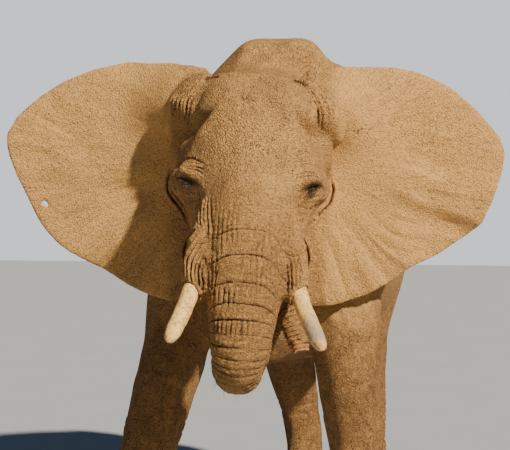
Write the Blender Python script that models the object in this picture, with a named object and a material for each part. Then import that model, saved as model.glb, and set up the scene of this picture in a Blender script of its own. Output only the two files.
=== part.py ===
"""An African savanna elephant at life size, standing with its ears spread and its trunk curled up under the chin.

The flesh is modelled whole: limbs, neck and torso are lofts along a few sections, which one voxel skin joins.
It is then smoothed, pressed into shape, thinned to a few thousand faces, and parted with thin cuts.
Metres, +Z up. The elephant faces -Y, so +X is its left side.
"""

import math

import bmesh
import bpy
import numpy as np
from mathutils import Euler, Matrix, Vector

# ---- driving sizes ----
EYE_SPACING = 0.64
EYE_RADIUS = 0.027
TUSK_RADIUS = 0.050
EAR_RIM = 0.018
EAR_ROOT = 0.046
HOLE_HALF_WIDTH = 0.014
HOLE_HALF_LENGTH = 0.027

# ---- the skin's grid, and how many faces the solids keep ----
VOXEL = 0.018
SMOOTHING = 9
ALL_FACES = 4900
KEPT_FACES = 1900
GAP = 0.0006
STEPS = 4
SIDES = 28
BELOW_FLOOR = 0.04

# ---- where the head sits: its frame is centred between the eyes, -y forward, +x to the elephant's left ----
HEAD_AT = Vector((0.080, -0.75, 2.10))
HEAD_TURN = math.radians(12)
HEAD_ROLL = math.radians(3)
HEAD = Matrix.Translation(HEAD_AT) @ Euler((0, HEAD_ROLL, HEAD_TURN), "XYZ").to_matrix().to_4x4()
WORLD = Matrix.Identity(4)
LEFT, RIGHT = 1, -1
SIDE_NAMES = {LEFT: "left", RIGHT: "right"}
ACROSS = Vector((1, 0, 0))

# Torso sections: y, top, bottom, half width, how much narrower the top is.
TORSO = [
    (-0.44, 2.36, 1.74, 0.20, 0.00),
    (-0.32, 2.56, 1.42, 0.38, 0.03),
    (-0.12, 2.72, 1.20, 0.52, 0.06),
    (0.10, 2.88, 1.10, 0.59, 0.10),
    (0.32, 2.955, 1.06, 0.63, 0.10),
    (0.60, 2.935, 1.03, 0.67, 0.09),
    (0.95, 2.875, 1.00, 0.69, 0.05),
    (1.30, 2.86, 1.00, 0.685, 0.03),
    (1.60, 2.90, 1.06, 0.65, 0.05),
    (1.85, 2.88, 1.20, 0.60, 0.10),
    (2.10, 2.76, 1.38, 0.50, 0.10),
    (2.30, 2.57, 1.62, 0.37, 0.08),
    (2.43, 2.33, 1.88, 0.19, 0.00),
]
# Tubes: x, y, z, half width, half depth. The neck runs from inside the skull to the shoulders.
NECK = [
    (0.11, -0.64, 2.17, 0.31, 0.42),
    (0.08, -0.42, 2.19, 0.35, 0.49),
    (0.03, -0.16, 2.17, 0.42, 0.60),
    (0.0, 0.12, 2.10, 0.48, 0.68),
]
# Skull slices in the head's frame: z, half width, front, back, how much wider the back is.
SKULL = [
    (0.600, 0.12, 0.02, 0.22, 0.00),
    (0.580, 0.22, -0.06, 0.32, 0.02),
    (0.510, 0.315, -0.15, 0.42, 0.05),
    (0.380, 0.370, -0.235, 0.47, 0.06),
    (0.220, 0.395, -0.295, 0.48, 0.07),
    (0.050, 0.385, -0.340, 0.45, 0.10),
    (-0.10, 0.345, -0.385, 0.40, 0.10),
    (-0.25, 0.295, -0.425, 0.31, 0.08),
    (-0.38, 0.245, -0.450, 0.20, 0.05),
    (-0.47, 0.190, -0.455, 0.08, 0.00),
    (-0.53, 0.110, -0.420, -0.08, 0.00),
]
# Tubes in the head's frame.
TRUNK = [
    (0.0, -0.150, 0.14, 0.185, 0.165),
    (0.0, -0.255, -0.08, 0.200, 0.185),
    (0.0, -0.335, -0.27, 0.203, 0.185),
    (0.0, -0.395, -0.44, 0.200, 0.175),
    (-0.002, -0.435, -0.60, 0.186, 0.163),
    (-0.006, -0.450, -0.74, 0.163, 0.150),
    (-0.012, -0.435, -0.85, 0.147, 0.137),
    (-0.016, -0.380, -0.925, 0.134, 0.124),
    (-0.008, -0.290, -0.955, 0.122, 0.114),
    (0.018, -0.195, -0.930, 0.110, 0.104),
    (0.060, -0.130, -0.860, 0.098, 0.094),
    (0.104, -0.098, -0.775, 0.088, 0.084),
    (0.146, -0.096, -0.695, 0.080, 0.076),
    (0.186, -0.122, -0.645, 0.074, 0.071),
    (0.225, -0.165, -0.642, 0.069, 0.066),
    (0.257, -0.205, -0.688, 0.065, 0.062),
    (0.279, -0.231, -0.755, 0.061, 0.058),
    (0.297, -0.247, -0.812, 0.057, 0.051),
    (0.309, -0.255, -0.852, 0.042, 0.030),
]
TRUNK_HOOK = (0.212, -0.155, -0.655)
JAW = [
    (0.0, 0.200, -0.28, 0.215, 0.150),
    (0.0, 0.060, -0.41, 0.185, 0.120),
    (0.0, -0.070, -0.51, 0.130, 0.085),
    (-0.015, -0.165, -0.585, 0.085, 0.056),
    (-0.025, -0.235, -0.640, 0.048, 0.030),
]
# The left side's tusk sheath and tusk. A tusk's spread is how far its tip stands out from its root.
SHEATH = [
    (0.120, -0.225, -0.02, 0.105, 0.100),
    (0.175, -0.295, -0.22, 0.112, 0.108),
    (0.217, -0.345, -0.38, 0.100, 0.104),
    (0.246, -0.385, -0.49, 0.082, 0.086),
    (0.257, -0.403, -0.535, 0.068, 0.070),
]
TUSK_LINE = [
    (0.00, -0.290, -0.395, 0.94),
    (0.18, -0.385, -0.500, 1.00),
    (0.36, -0.470, -0.575, 1.00),
    (0.58, -0.570, -0.645, 0.97),
    (0.76, -0.655, -0.695, 0.92),
    (0.89, -0.725, -0.728, 0.84),
    (0.97, -0.775, -0.745, 0.62),
    (1.00, -0.798, -0.749, 0.30),
]
TUSK_ROOT = 0.240
TUSK_SPREAD = {LEFT: 0.153, RIGHT: 0.113}
# Each ear's outline in the head's frame, out from the middle and up, from its inner top corner round to its lobe.
EAR_OUTLINE = {
    RIGHT: [
        (0.240, 0.600),
        (0.288, 0.640),
        (0.491, 0.640),
        (0.700, 0.640),
        (0.938, 0.572),
        (1.131, 0.463),
        (1.286, 0.320),
        (1.352, 0.190),
        (1.307, 0.044),
        (1.217, -0.123),
        (1.150, -0.250),
        (1.071, -0.341),
        (0.977, -0.413),
        (0.756, -0.513),
        (0.589, -0.604),
        (0.424, -0.658),
        (0.346, -0.663),
        (0.290, -0.600),
        (0.248, -0.440),
        (0.222, -0.270),
    ],
    LEFT: [
        (0.240, 0.610),
        (0.283, 0.654),
        (0.440, 0.669),
        (0.700, 0.690),
        (0.868, 0.671),
        (1.006, 0.624),
        (1.145, 0.541),
        (1.335, 0.362),
        (1.385, 0.250),
        (1.366, 0.120),
        (1.296, -0.104),
        (1.228, -0.189),
        (1.046, -0.325),
        (0.870, -0.420),
        (0.741, -0.534),
        (0.565, -0.612),
        (0.414, -0.651),
        (0.360, -0.655),
        (0.300, -0.590),
        (0.250, -0.440),
        (0.222, -0.270),
    ],
}
EAR_ROOT_TOP = (0.20, 0.500)
EAR_ROOT_FOOT = (0.215, -0.200)
EAR_SPAN = 1.11
EAR_DEPTH = 0.335
EAR_SWEEP = 0.115
EAR_TOP_FOLD = 0.055
EAR_RIPPLE = 0.020
EAR_RIPPLES = 6.5
EAR_RAYS = 26
EAR_RINGS = 4
EAR_HOLE = (-1.115, 0.335, -0.160)
EAR_HOLE_TILT = math.radians(-38)
EAR_NOTCHES = [(-0.605, -0.615, 0.022), (-0.935, -0.435, 0.014), (-1.272, -0.075, 0.017)]

FORELEG = {
    RIGHT: [
        (-0.385, 0.14, 2.10, 0.19, 0.34),
        (-0.437, 0.09, 1.78, 0.200, 0.33),
        (-0.470, 0.02, 1.50, 0.195, 0.28),
        (-0.492, -0.04, 1.27, 0.182, 0.235),
        (-0.512, -0.12, 1.07, 0.184, 0.214),
        (-0.550, -0.185, 0.91, 0.173, 0.190),
        (-0.588, -0.25, 0.74, 0.164, 0.176),
        (-0.619, -0.31, 0.58, 0.158, 0.172),
        (-0.659, -0.375, 0.39, 0.146, 0.156),
        (-0.691, -0.43, 0.24, 0.164, 0.176),
        (-0.710, -0.465, 0.12, 0.202, 0.214),
        (-0.714, -0.48, 0.04, 0.226, 0.238),
        (-0.714, -0.48, -BELOW_FLOOR, 0.228, 0.240),
    ],
    LEFT: [
        (0.370, 0.16, 2.10, 0.19, 0.34),
        (0.425, 0.13, 1.78, 0.200, 0.33),
        (0.460, 0.06, 1.50, 0.195, 0.28),
        (0.473, 0.02, 1.27, 0.186, 0.240),
        (0.478, 0.02, 1.05, 0.190, 0.220),
        (0.494, 0.05, 0.87, 0.176, 0.192),
        (0.505, 0.08, 0.73, 0.164, 0.176),
        (0.513, 0.10, 0.58, 0.157, 0.172),
        (0.527, 0.12, 0.39, 0.146, 0.156),
        (0.539, 0.125, 0.24, 0.164, 0.176),
        (0.546, 0.12, 0.12, 0.202, 0.214),
        (0.548, 0.12, 0.04, 0.226, 0.238),
        (0.548, 0.12, -BELOW_FLOOR, 0.228, 0.240),
    ],
}
HINDLEG = {
    RIGHT: [
        (-0.230, 1.96, 2.20, 0.24, 0.38),
        (-0.290, 1.89, 1.82, 0.25, 0.41),
        (-0.275, 1.80, 1.52, 0.222, 0.35),
        (-0.239, 1.72, 1.26, 0.190, 0.275),
        (-0.196, 1.69, 1.01, 0.167, 0.215),
        (-0.151, 1.75, 0.76, 0.147, 0.176),
        (-0.120, 1.82, 0.53, 0.130, 0.158),
        (-0.106, 1.82, 0.33, 0.126, 0.147),
        (-0.107, 1.79, 0.17, 0.155, 0.186),
        (-0.108, 1.77, 0.05, 0.187, 0.226),
        (-0.108, 1.77, -BELOW_FLOOR, 0.188, 0.228),
    ],
    LEFT: [
        (0.270, 1.99, 2.20, 0.24, 0.38),
        (0.330, 1.96, 1.82, 0.25, 0.41),
        (0.320, 1.92, 1.52, 0.222, 0.35),
        (0.283, 1.88, 1.26, 0.190, 0.275),
        (0.272, 1.89, 1.01, 0.167, 0.215),
        (0.272, 1.98, 0.76, 0.147, 0.176),
        (0.275, 2.07, 0.53, 0.130, 0.158),
        (0.280, 2.08, 0.33, 0.126, 0.147),
        (0.284, 2.05, 0.17, 0.155, 0.186),
        (0.286, 2.03, 0.05, 0.187, 0.226),
        (0.286, 2.03, -BELOW_FLOOR, 0.188, 0.228),
    ],
}
TAIL = [
    (0.0, 2.30, 2.50, 0.12, 0.10),
    (0.0, 2.44, 2.34, 0.082, 0.070),
    (0.004, 2.53, 2.10, 0.054, 0.050),
    (0.010, 2.565, 1.82, 0.040, 0.038),
    (0.018, 2.575, 1.52, 0.033, 0.031),
    (0.026, 2.570, 1.24, 0.029, 0.027),
    (0.034, 2.560, 1.02, 0.028, 0.025),
]
TAIL_TUFT = [
    (0.032, 2.561, 1.07, 0.040, 0.038),
    (0.038, 2.556, 0.97, 0.048, 0.034),
    (0.043, 2.552, 0.87, 0.046, 0.024),
    (0.048, 2.548, 0.77, 0.034, 0.016),
    (0.050, 2.545, 0.70, 0.014, 0.008),
]
# Toenails: degrees round the foot from straight ahead, and half width.
FORE_NAILS = [(-62, 0.036), (-25, 0.043), (12, 0.043), (47, 0.038)]
HIND_NAILS = [(-42, 0.036), (0, 0.040), (42, 0.036)]
NAIL_HEIGHT = 0.052
NAIL_HALF_HEIGHT = 0.044
NAIL_HALF_DEPTH = 0.022

SKIN_COLOUR = (0.36, 0.26, 0.17, 1)
IVORY_COLOUR = (0.80, 0.70, 0.52, 1)
NAIL_COLOUR = (0.42, 0.36, 0.28, 1)
EYE_COLOUR = (0.05, 0.025, 0.012, 1)
HAIR_COLOUR = (0.03, 0.025, 0.02, 1)


def material(name, colour, roughness):
    made = bpy.data.materials.new(name)
    made.use_nodes = True
    shader = made.node_tree.nodes["Principled BSDF"]
    shader.inputs["Base Color"].default_value = colour
    shader.inputs["Roughness"].default_value = roughness
    return made


# ---- making shapes ----
def smooth_rows(rows, steps=STEPS):
    """The rows with a smooth Catmull-Rom run of rows between each two of them."""
    rows = np.array(rows, float)
    ends = np.vstack([2 * rows[0] - rows[1], rows, 2 * rows[-1] - rows[-2]])
    made = []
    for a, b, c, d in zip(ends, ends[1:], ends[2:], ends[3:]):
        for t in np.arange(steps) / steps:
            bend = (2 * a - 5 * b + 4 * c - d) * t**2 + (3 * b - 3 * c + d - a) * t**3
            made.append(b + 0.5 * ((c - a) * t + bend))
    return np.array([*made, rows[-1]])


def section(centre, across, along, half_across, half_along, wider=0.0, sides=SIDES):
    """An oval of points in the plane of the two axes, wider towards +along."""
    points = []
    for angle in np.linspace(0, 2 * math.pi, sides, endpoint=False):
        c, s = math.cos(angle), math.sin(angle)
        points.append(centre + across * (half_across * c * (1 + wider * s)) + along * (half_along * s))
    return points


def new_object(name, mesh_builder):
    mesh = bpy.data.meshes.new(name)
    mesh_builder.normal_update()
    bmesh.ops.recalc_face_normals(mesh_builder, faces=mesh_builder.faces)
    mesh_builder.to_mesh(mesh)
    mesh_builder.free()
    made = bpy.data.objects.new(name, mesh)
    bpy.context.scene.collection.objects.link(made)
    return made


def loft(name, rings, place=WORLD):
    """A closed body through rings of points, each with the same number of points."""
    builder = bmesh.new()
    loops = [[builder.verts.new(place @ point) for point in ring] for ring in rings]
    for near, far in zip(loops, loops[1:]):
        for k in range(len(near)):
            builder.faces.new((near[k - 1], near[k], far[k], far[k - 1]))
    builder.faces.new(loops[0])
    builder.faces.new(loops[-1])
    return new_object(name, builder)


def tube_rings(rows, sides=SIDES, fat=1.0, steps=STEPS):
    """Oval sections square to the smooth line through the rows."""
    fine = smooth_rows(rows, steps)
    centres = [Vector(row[:3]) for row in fine]
    rings = []
    for k, (centre, row) in enumerate(zip(centres, fine)):
        ahead = (centres[min(k + 1, len(fine) - 1)] - centres[max(k - 1, 0)]).normalized()
        across = (ACROSS - ACROSS.dot(ahead) * ahead).normalized()
        rings.append(section(centre, across, ahead.cross(across), row[3] * fat, row[4] * fat, sides=sides))
    return rings


def tube(name, rows, place=WORLD, **shape):
    return loft(name, tube_rings(rows, **shape), place)


def ball(name, centre, radii, place=WORLD, turn=(0, 0, 0), segments=20, rings=12):
    builder = bmesh.new()
    bmesh.ops.create_uvsphere(builder, u_segments=segments, v_segments=rings, radius=1)
    turned = Euler(turn, "XYZ").to_matrix().to_4x4()
    builder.transform(place @ Matrix.Translation(centre) @ turned @ Matrix.Diagonal((*radii, 1)))
    return new_object(name, builder)


def box(name, low, high, place=WORLD):
    builder = bmesh.new()
    bmesh.ops.create_cube(builder, size=1)
    low, high = Vector(low), Vector(high)
    size = Matrix.Diagonal((*(high - low), 1))
    builder.transform(place @ Matrix.Translation((low + high) / 2) @ size)
    return new_object(name, builder)


def mirrored(rows, side):
    return [(row[0] * side, *row[1:]) for row in rows]


# ---- working on shapes ----
def settle(thing):
    """Turns an object's modifiers into its mesh."""
    graph = bpy.context.evaluated_depsgraph_get()
    mesh = bpy.data.meshes.new_from_object(thing.evaluated_get(graph))
    thing.modifiers.clear()
    old, thing.data = thing.data, mesh
    bpy.data.meshes.remove(old)
    return thing


def remove(thing):
    mesh = thing.data
    bpy.data.objects.remove(thing)
    bpy.data.meshes.remove(mesh)


def copy_of(thing, name):
    made = thing.copy()
    made.data = thing.data.copy()
    made.name = name
    bpy.context.scene.collection.objects.link(made)
    return made


def grown(thing, by):
    """A copy whose surface stands out by that much."""
    made = copy_of(thing, thing.name + "_grown")
    swell = made.modifiers.new("swell", "DISPLACE")
    swell.strength = by
    swell.mid_level = 0
    return settle(made)


def boolean(thing, other, operation):
    cut = thing.modifiers.new("cut", "BOOLEAN")
    cut.operation = operation
    cut.object = other
    cut.solver = "EXACT"
    settle(thing)
    tidy(thing)


def tidy(thing):
    """Takes out the slivers that a cut leaves."""
    builder = bmesh.new()
    builder.from_mesh(thing.data)
    bmesh.ops.dissolve_degenerate(builder, dist=0.0001, edges=builder.edges)
    bmesh.ops.triangulate(builder, faces=builder.faces)
    builder.to_mesh(thing.data)
    builder.free()


def cut_away(thing, other, gap=GAP):
    """Removes other from thing, with a gap between them."""
    cutter = grown(other, gap)
    boolean(thing, cutter, "DIFFERENCE")
    remove(cutter)


def take(name, flesh, cutter):
    """The flesh inside the cutter becomes a piece of its own, a gap clear of the rest."""
    piece = copy_of(flesh, name)
    boolean(piece, cutter, "INTERSECT")
    cut_away(flesh, cutter)
    remove(cutter)
    return piece


def press(points, place, centre, radii, push):
    """Moves the points near centre softly, as a thumb moves clay. All in the frame of place."""
    local = (points - np.array(place.translation)) @ np.array(place.to_3x3())
    share = np.clip(1 - (((local - centre) / radii) ** 2).sum(1), 0, 1) ** 2
    points += share[:, None] * (np.array(push) @ np.array(place.to_3x3()).T)


def thin_to(thing, faces, group=""):
    """Merges faces until that many triangles are left, in the group only where one is named."""
    thing.data.calc_loop_triangles()
    fewer = thing.modifiers.new("fewer", "DECIMATE")
    fewer.ratio = faces / len(thing.data.loop_triangles)
    fewer.vertex_group = group
    fewer.use_collapse_triangulate = True
    settle(thing)


# ---- the flesh ----
def torso_rings():
    rings = []
    for y, top, bottom, half_width, narrower in smooth_rows(TORSO):
        centre = Vector((0, y, (top + bottom) / 2))
        rings.append(section(centre, ACROSS, Vector((0, 0, 1)), half_width, (top - bottom) / 2, -narrower))
    return rings


def skull_rings():
    rings = []
    for z, half_width, front, back, wider in smooth_rows(SKULL):
        centre = Vector((0, (front + back) / 2, z))
        rings.append(section(centre, ACROSS, Vector((0, 1, 0)), half_width, (back - front) / 2, wider))
    return rings


def flesh_forms():
    """Every overlapping form of the body, for one skin to join."""
    forms = [
        loft("torso", torso_rings()),
        tube("neck", NECK),
        loft("skull", skull_rings(), HEAD),
        tube("trunk", TRUNK, HEAD),
        tube("jaw", JAW, HEAD),
        ball("brisket", (0, -0.02, 1.42), (0.36, 0.40, 0.36)),
        ball("spine", (0, 1.05, 2.73), (0.13, 1.10, 0.17)),
    ]
    for side in (LEFT, RIGHT):
        forms += [
            tube("foreleg", FORELEG[side]),
            tube("hindleg", HINDLEG[side]),
            tube("sheath", mirrored(SHEATH, side), HEAD),
            ball("brow", (0.300 * side, -0.135, 0.068), (0.080, 0.110, 0.055), HEAD, (0, 0, 0.6 * side)),
            ball("orbit", (0.335 * side, 0.030, 0.010), (0.095, 0.170, 0.100), HEAD),
            ball("dome", (0.120 * side, -0.02, 0.36), (0.190, 0.200, 0.220), HEAD),
            ball("withers", (0.125 * side + 0.025, 0.30, 2.815), (0.150, 0.30, 0.140), WORLD, (0, 0.45 * side, 0)),
            ball("shoulder", (0.42 * side, 0.02, 1.98), (0.20, 0.34, 0.52)),
            ball("elbow", (0.47 * side, 0.22, 1.38), (0.15, 0.17, 0.17)),
            ball("hip", (0.30 * side, 1.74, 2.44), (0.27, 0.40, 0.36)),
            ball("thigh", (0.34 * side + 0.02, 1.90, 1.90), (0.24, 0.42, 0.48)),
        ]
    return forms


def shape(points):
    """The hollows and swellings that the lofts don't give."""
    for side in (LEFT, RIGHT):
        press(points, HEAD, (0.34 * side, -0.02, 0.27), (0.13, 0.17, 0.13), (-0.035 * side, 0.0, 0.0))
        press(points, HEAD, (0.29 * side, -0.20, -0.12), (0.12, 0.12, 0.15), (-0.030 * side, 0.018, 0.0))
        press(points, HEAD, (0.335 * side, -0.13, 0.008), (0.075, 0.075, 0.042), (-0.028 * side, 0.014, 0.0))
        press(points, WORLD, (0.60 * side, 1.45, 2.15), (0.30, 0.28, 0.50), (-0.055 * side, 0, 0))
        press(points, WORLD, (0.58 * side, 0.55, 2.20), (0.30, 0.24, 0.60), (-0.045 * side, 0, 0))
        press(points, WORLD, (0.53 * side, -0.26, 2.05), (0.22, 0.16, 0.40), (-0.04 * side, 0, 0))
    press(points, HEAD, (0, -0.36, 0.16), (0.22, 0.16, 0.16), (0, 0.020, 0))


def make_flesh():
    """One closed skin round all the forms, smoothed, pressed into shape and thinned."""
    forms = flesh_forms()
    with bpy.context.temp_override(active_object=forms[0], selected_editable_objects=forms):
        bpy.ops.object.join()
    flesh = forms[0]
    flesh.name = "flesh"
    skin = flesh.modifiers.new("skin", "REMESH")
    skin.mode = "VOXEL"
    skin.voxel_size = VOXEL
    soften = flesh.modifiers.new("soften", "SMOOTH")
    soften.factor = 0.5
    soften.iterations = SMOOTHING
    settle(flesh)
    points = np.empty(len(flesh.data.vertices) * 3, np.float32)
    flesh.data.vertices.foreach_get("co", points)
    points = points.reshape(-1, 3).astype(float)
    shape(points)
    flesh.data.vertices.foreach_set("co", points.astype(np.float32).ravel())
    thin_to(flesh, ALL_FACES)
    plain = flesh.vertex_groups.new(name="plain")
    behind_head = [v.index for v in flesh.data.vertices if (v.co - HEAD_AT).y > 0.42 or v.co.z < 0.95]
    plain.add(behind_head, 1.0, "REPLACE")
    thin_to(flesh, KEPT_FACES, "plain")
    flesh.vertex_groups.clear()
    floor = box("floor", (-3, -3, -1), (3, 4, 0))
    boolean(flesh, floor, "DIFFERENCE")
    remove(floor)
    return flesh


# ---- ears ----
def ear_depth(x, z, reach):
    """How far back the middle of the ear lies, with its top edge folded back and its low rim rippled."""
    out = (x - EAR_ROOT_FOOT[0]) / EAR_SPAN
    fold = EAR_TOP_FOLD * min(max((z - 0.50) / 0.17, 0), 1) ** 2
    round_the_rim = math.atan2(z - 0.1, x - 0.2)
    ripple = EAR_RIPPLE * reach**3 * math.sin(2 * EAR_RIPPLES * round_the_rim) * min(max(0.5 - z, 0), 1)
    return EAR_DEPTH + EAR_SWEEP * math.sin(1.25 * out) + fold + ripple


def make_ear(side):
    """A sheet fanned out from its root to its outline, thick at the root and thin at the rim."""
    outline = smooth_rows(EAR_OUTLINE[side], 3)
    builder = bmesh.new()
    faces = {front: [] for front in (True, False)}
    spots = np.linspace(0, len(outline) - 1, EAR_RAYS)
    rim_x = np.interp(spots, range(len(outline)), outline[:, 0])
    rim_z = np.interp(spots, range(len(outline)), outline[:, 1])
    for k in range(EAR_RAYS):
        share = k / (EAR_RAYS - 1)
        root_x = EAR_ROOT_TOP[0] + (EAR_ROOT_FOOT[0] - EAR_ROOT_TOP[0]) * share
        root_z = EAR_ROOT_TOP[1] + (EAR_ROOT_FOOT[1] - EAR_ROOT_TOP[1]) * share
        for front in faces:
            ray = []
            for reach in np.linspace(0, 1, EAR_RINGS + 1) ** 0.9:
                x = root_x + (rim_x[k] - root_x) * reach
                z = root_z + (rim_z[k] - root_z) * reach
                thick = EAR_RIM + (EAR_ROOT - EAR_RIM) * (1 - reach) ** 1.3
                y = ear_depth(x, z, reach) + (-0.5 if front else 0.5) * thick
                ray.append(builder.verts.new(HEAD @ Vector((x * side, y, z))))
            faces[front].append(ray)
    for rays in faces.values():
        for near, far in zip(rays, rays[1:]):
            for r in range(EAR_RINGS):
                builder.faces.new((near[r], near[r + 1], far[r + 1], far[r]))
    front, back = faces[True], faces[False]
    for k in range(EAR_RAYS - 1):
        builder.faces.new((front[k][-1], front[k + 1][-1], back[k + 1][-1], back[k][-1]))
        builder.faces.new((front[k][0], front[k + 1][0], back[k + 1][0], back[k][0]))
    for k in (0, EAR_RAYS - 1):
        for r in range(EAR_RINGS):
            builder.faces.new((front[k][r], front[k][r + 1], back[k][r + 1], back[k][r]))
    ear = new_object(f"ear_{SIDE_NAMES[side]}", builder)
    tidy(ear)
    return ear


def tear_ear(ear):
    """The right ear's old hole and the nicks in its rim."""
    x, y, z = EAR_HOLE
    hole = ball("hole", (x, y + 0.08, z), (HOLE_HALF_WIDTH, 0.2, HOLE_HALF_LENGTH), HEAD, (0, EAR_HOLE_TILT, 0), 8, 6)
    boolean(ear, hole, "DIFFERENCE")
    remove(hole)
    for x, z, radius in EAR_NOTCHES:
        nick = ball("nick", (x, EAR_DEPTH + 0.08, z), (radius, 0.3, radius), HEAD, (0, 0, 0), 6, 4)
        boolean(ear, nick, "DIFFERENCE")
        remove(nick)


# ---- hard parts ----
def make_tusk(side):
    rows = []
    for out, y, z, share in TUSK_LINE:
        x = (TUSK_ROOT + TUSK_SPREAD[side] * out) * side
        rows.append((x, y, z, TUSK_RADIUS * share, TUSK_RADIUS * share))
    return tube(f"tusk_{SIDE_NAMES[side]}", rows, HEAD, sides=12, steps=1)


def make_eye(side):
    centre = (EYE_SPACING / 2 * side, -0.138, 0.010)
    return ball(f"eye_{SIDE_NAMES[side]}", centre, (EYE_RADIUS,) * 3, HEAD, (math.pi / 2, 0, 0.9 * side), 10, 7)


def make_nails(leg, nails, rows):
    """Toenails set round the front of a foot, each a pad half sunk in it."""
    x, y, _, half_width, half_depth = rows[-2]
    made = []
    for k, (degrees, half_nail) in enumerate(nails):
        angle = math.radians(degrees)
        at = (x + half_width * math.sin(angle), y - half_depth * math.cos(angle), NAIL_HEIGHT)
        size = (half_nail, NAIL_HALF_DEPTH, NAIL_HALF_HEIGHT)
        made.append(ball(f"nail_{leg}_{k + 1}", at, size, WORLD, (0, 0, angle), 8, 5))
    return made


# ---- parting ----
def fat_tube(rows, fat, place=WORLD):
    return tube("cutter", rows, place, fat=fat, sides=14, steps=2)


def part_flesh(flesh):
    """Takes the body's parts out of the whole flesh, one after the other. What is left is the body."""
    lengths = {"trunk_upper": (4, 8), "trunk_bend": (6, 11), "trunk_rise": (9, 14)}
    pieces = [take("trunk_hook", flesh, ball("cutter", TRUNK_HOOK, (0.122,) * 3, HEAD))]
    tip = fat_tube([*TRUNK[15:], (0.320, -0.262, -0.90, 0.042, 0.04)], 1.45, HEAD)
    pieces.append(take("trunk_tip", flesh, tip))
    for name, (first, last) in reversed(lengths.items()):
        pieces.append(take(name, flesh, fat_tube(TRUNK[first : last + 1], 1.32, HEAD)))
    jaw = fat_tube([*JAW[1:], (-0.03, -0.27, -0.675, 0.04, 0.03)], 1.12, HEAD)
    pieces.append(take("lower_jaw", flesh, jaw))
    for side, name in SIDE_NAMES.items():
        pieces.append(take(f"foreleg_{name}", flesh, fat_tube(FORELEG[side][1:], 1.25)))
        pieces.append(take(f"hindleg_{name}", flesh, fat_tube(HINDLEG[side][1:], 1.2)))
    pieces.append(take("head", flesh, box("cutter", (-0.7, -0.9, -0.9), (0.7, 0.40, 0.9), HEAD)))
    pieces.append(take("neck", flesh, box("cutter", (-1.2, -1.2, 0.8), (1.2, -0.10, 3.2))))
    flesh.name = "body"
    return [*pieces, flesh]


def dress(things, finish):
    for thing in things:
        thing.data.materials.clear()
        thing.data.materials.append(finish)
        thing.data.shade_smooth()
        thing.data.set_sharp_from_angle(angle=math.radians(40))


def centre_on_floor(things):
    """Moves the whole elephant so that the middle of its box is over the origin."""
    corners = np.array([v.co for thing in things for v in thing.data.vertices])
    middle = (corners.min(0) + corners.max(0)) / 2
    for thing in things:
        thing.data.transform(Matrix.Translation((-middle[0], -middle[1], 0)))


def main():
    for thing in list(bpy.data.objects):
        bpy.data.objects.remove(thing)
    flesh = make_flesh()
    ears = [make_ear(side) for side in SIDE_NAMES]
    tear_ear(ears[1])
    tusks = [make_tusk(side) for side in SIDE_NAMES]
    eyes = [make_eye(side) for side in SIDE_NAMES]
    tail = tube("tail", TAIL, sides=12, steps=2)
    tuft = tube("tail_tuft", TAIL_TUFT, sides=12, steps=1)
    nails = []
    for side, name in SIDE_NAMES.items():
        turned = [(degrees * side, half) for degrees, half in FORE_NAILS]
        nails += make_nails(f"fore_{name}", turned, FORELEG[side])
        nails += make_nails(f"hind_{name}", HIND_NAILS, HINDLEG[side])
    for thing in [*ears, tail]:
        cut_away(thing, flesh)
    cut_away(tuft, tail)
    for thing in [*tusks, *eyes, *nails]:
        cut_away(flesh, thing)
    soft = [*part_flesh(flesh), *ears, tail]
    dress(soft, material("skin", SKIN_COLOUR, 0.85))
    dress(tusks, material("ivory", IVORY_COLOUR, 0.4))
    dress(nails, material("nail", NAIL_COLOUR, 0.6))
    dress(eyes, material("eye", EYE_COLOUR, 0.1))
    dress([tuft], material("hair", HAIR_COLOUR, 0.7))
    centre_on_floor([*soft, *tusks, *nails, *eyes, tuft])


main()
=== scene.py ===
"""Dresses the elephant: one folded skin, eyes with lids and lashes, ivory, nails, hair, and the stage."""

import itertools
import math
from contextlib import contextmanager
from types import SimpleNamespace

import bpy
import numpy as np
from bpy.props import FloatProperty, FloatVectorProperty, IntProperty, PointerProperty
from mathutils import Euler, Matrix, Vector


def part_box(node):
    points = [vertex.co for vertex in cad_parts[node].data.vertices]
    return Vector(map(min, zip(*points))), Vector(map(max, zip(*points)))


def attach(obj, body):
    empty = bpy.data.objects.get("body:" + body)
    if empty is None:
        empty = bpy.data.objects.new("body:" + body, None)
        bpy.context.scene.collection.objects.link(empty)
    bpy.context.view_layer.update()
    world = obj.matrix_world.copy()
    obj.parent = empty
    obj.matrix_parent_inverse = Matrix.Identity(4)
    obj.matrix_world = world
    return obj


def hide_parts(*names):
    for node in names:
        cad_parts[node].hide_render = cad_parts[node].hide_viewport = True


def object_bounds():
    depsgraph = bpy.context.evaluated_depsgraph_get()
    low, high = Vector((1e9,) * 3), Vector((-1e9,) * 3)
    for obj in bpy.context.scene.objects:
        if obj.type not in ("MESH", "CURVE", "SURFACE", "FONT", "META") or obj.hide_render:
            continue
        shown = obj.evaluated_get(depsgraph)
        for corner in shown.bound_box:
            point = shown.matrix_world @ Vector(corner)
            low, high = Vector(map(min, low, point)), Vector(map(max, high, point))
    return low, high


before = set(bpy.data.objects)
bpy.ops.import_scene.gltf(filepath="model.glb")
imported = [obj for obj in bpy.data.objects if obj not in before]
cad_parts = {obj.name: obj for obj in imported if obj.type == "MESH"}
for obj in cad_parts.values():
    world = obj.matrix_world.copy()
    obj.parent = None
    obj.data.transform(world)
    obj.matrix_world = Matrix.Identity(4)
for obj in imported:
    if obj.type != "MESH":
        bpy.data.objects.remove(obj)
CAD_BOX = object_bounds()

bl_info = {
    "name": "Savanna Elephant",
    "version": (1, 0, 0),
    "blender": (4, 5, 0),
    "location": "3D View > Sidebar > Elephant",
    "description": "Dresses the elephant model in skin, ivory, horn and hair",
    "category": "Object",
}

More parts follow.
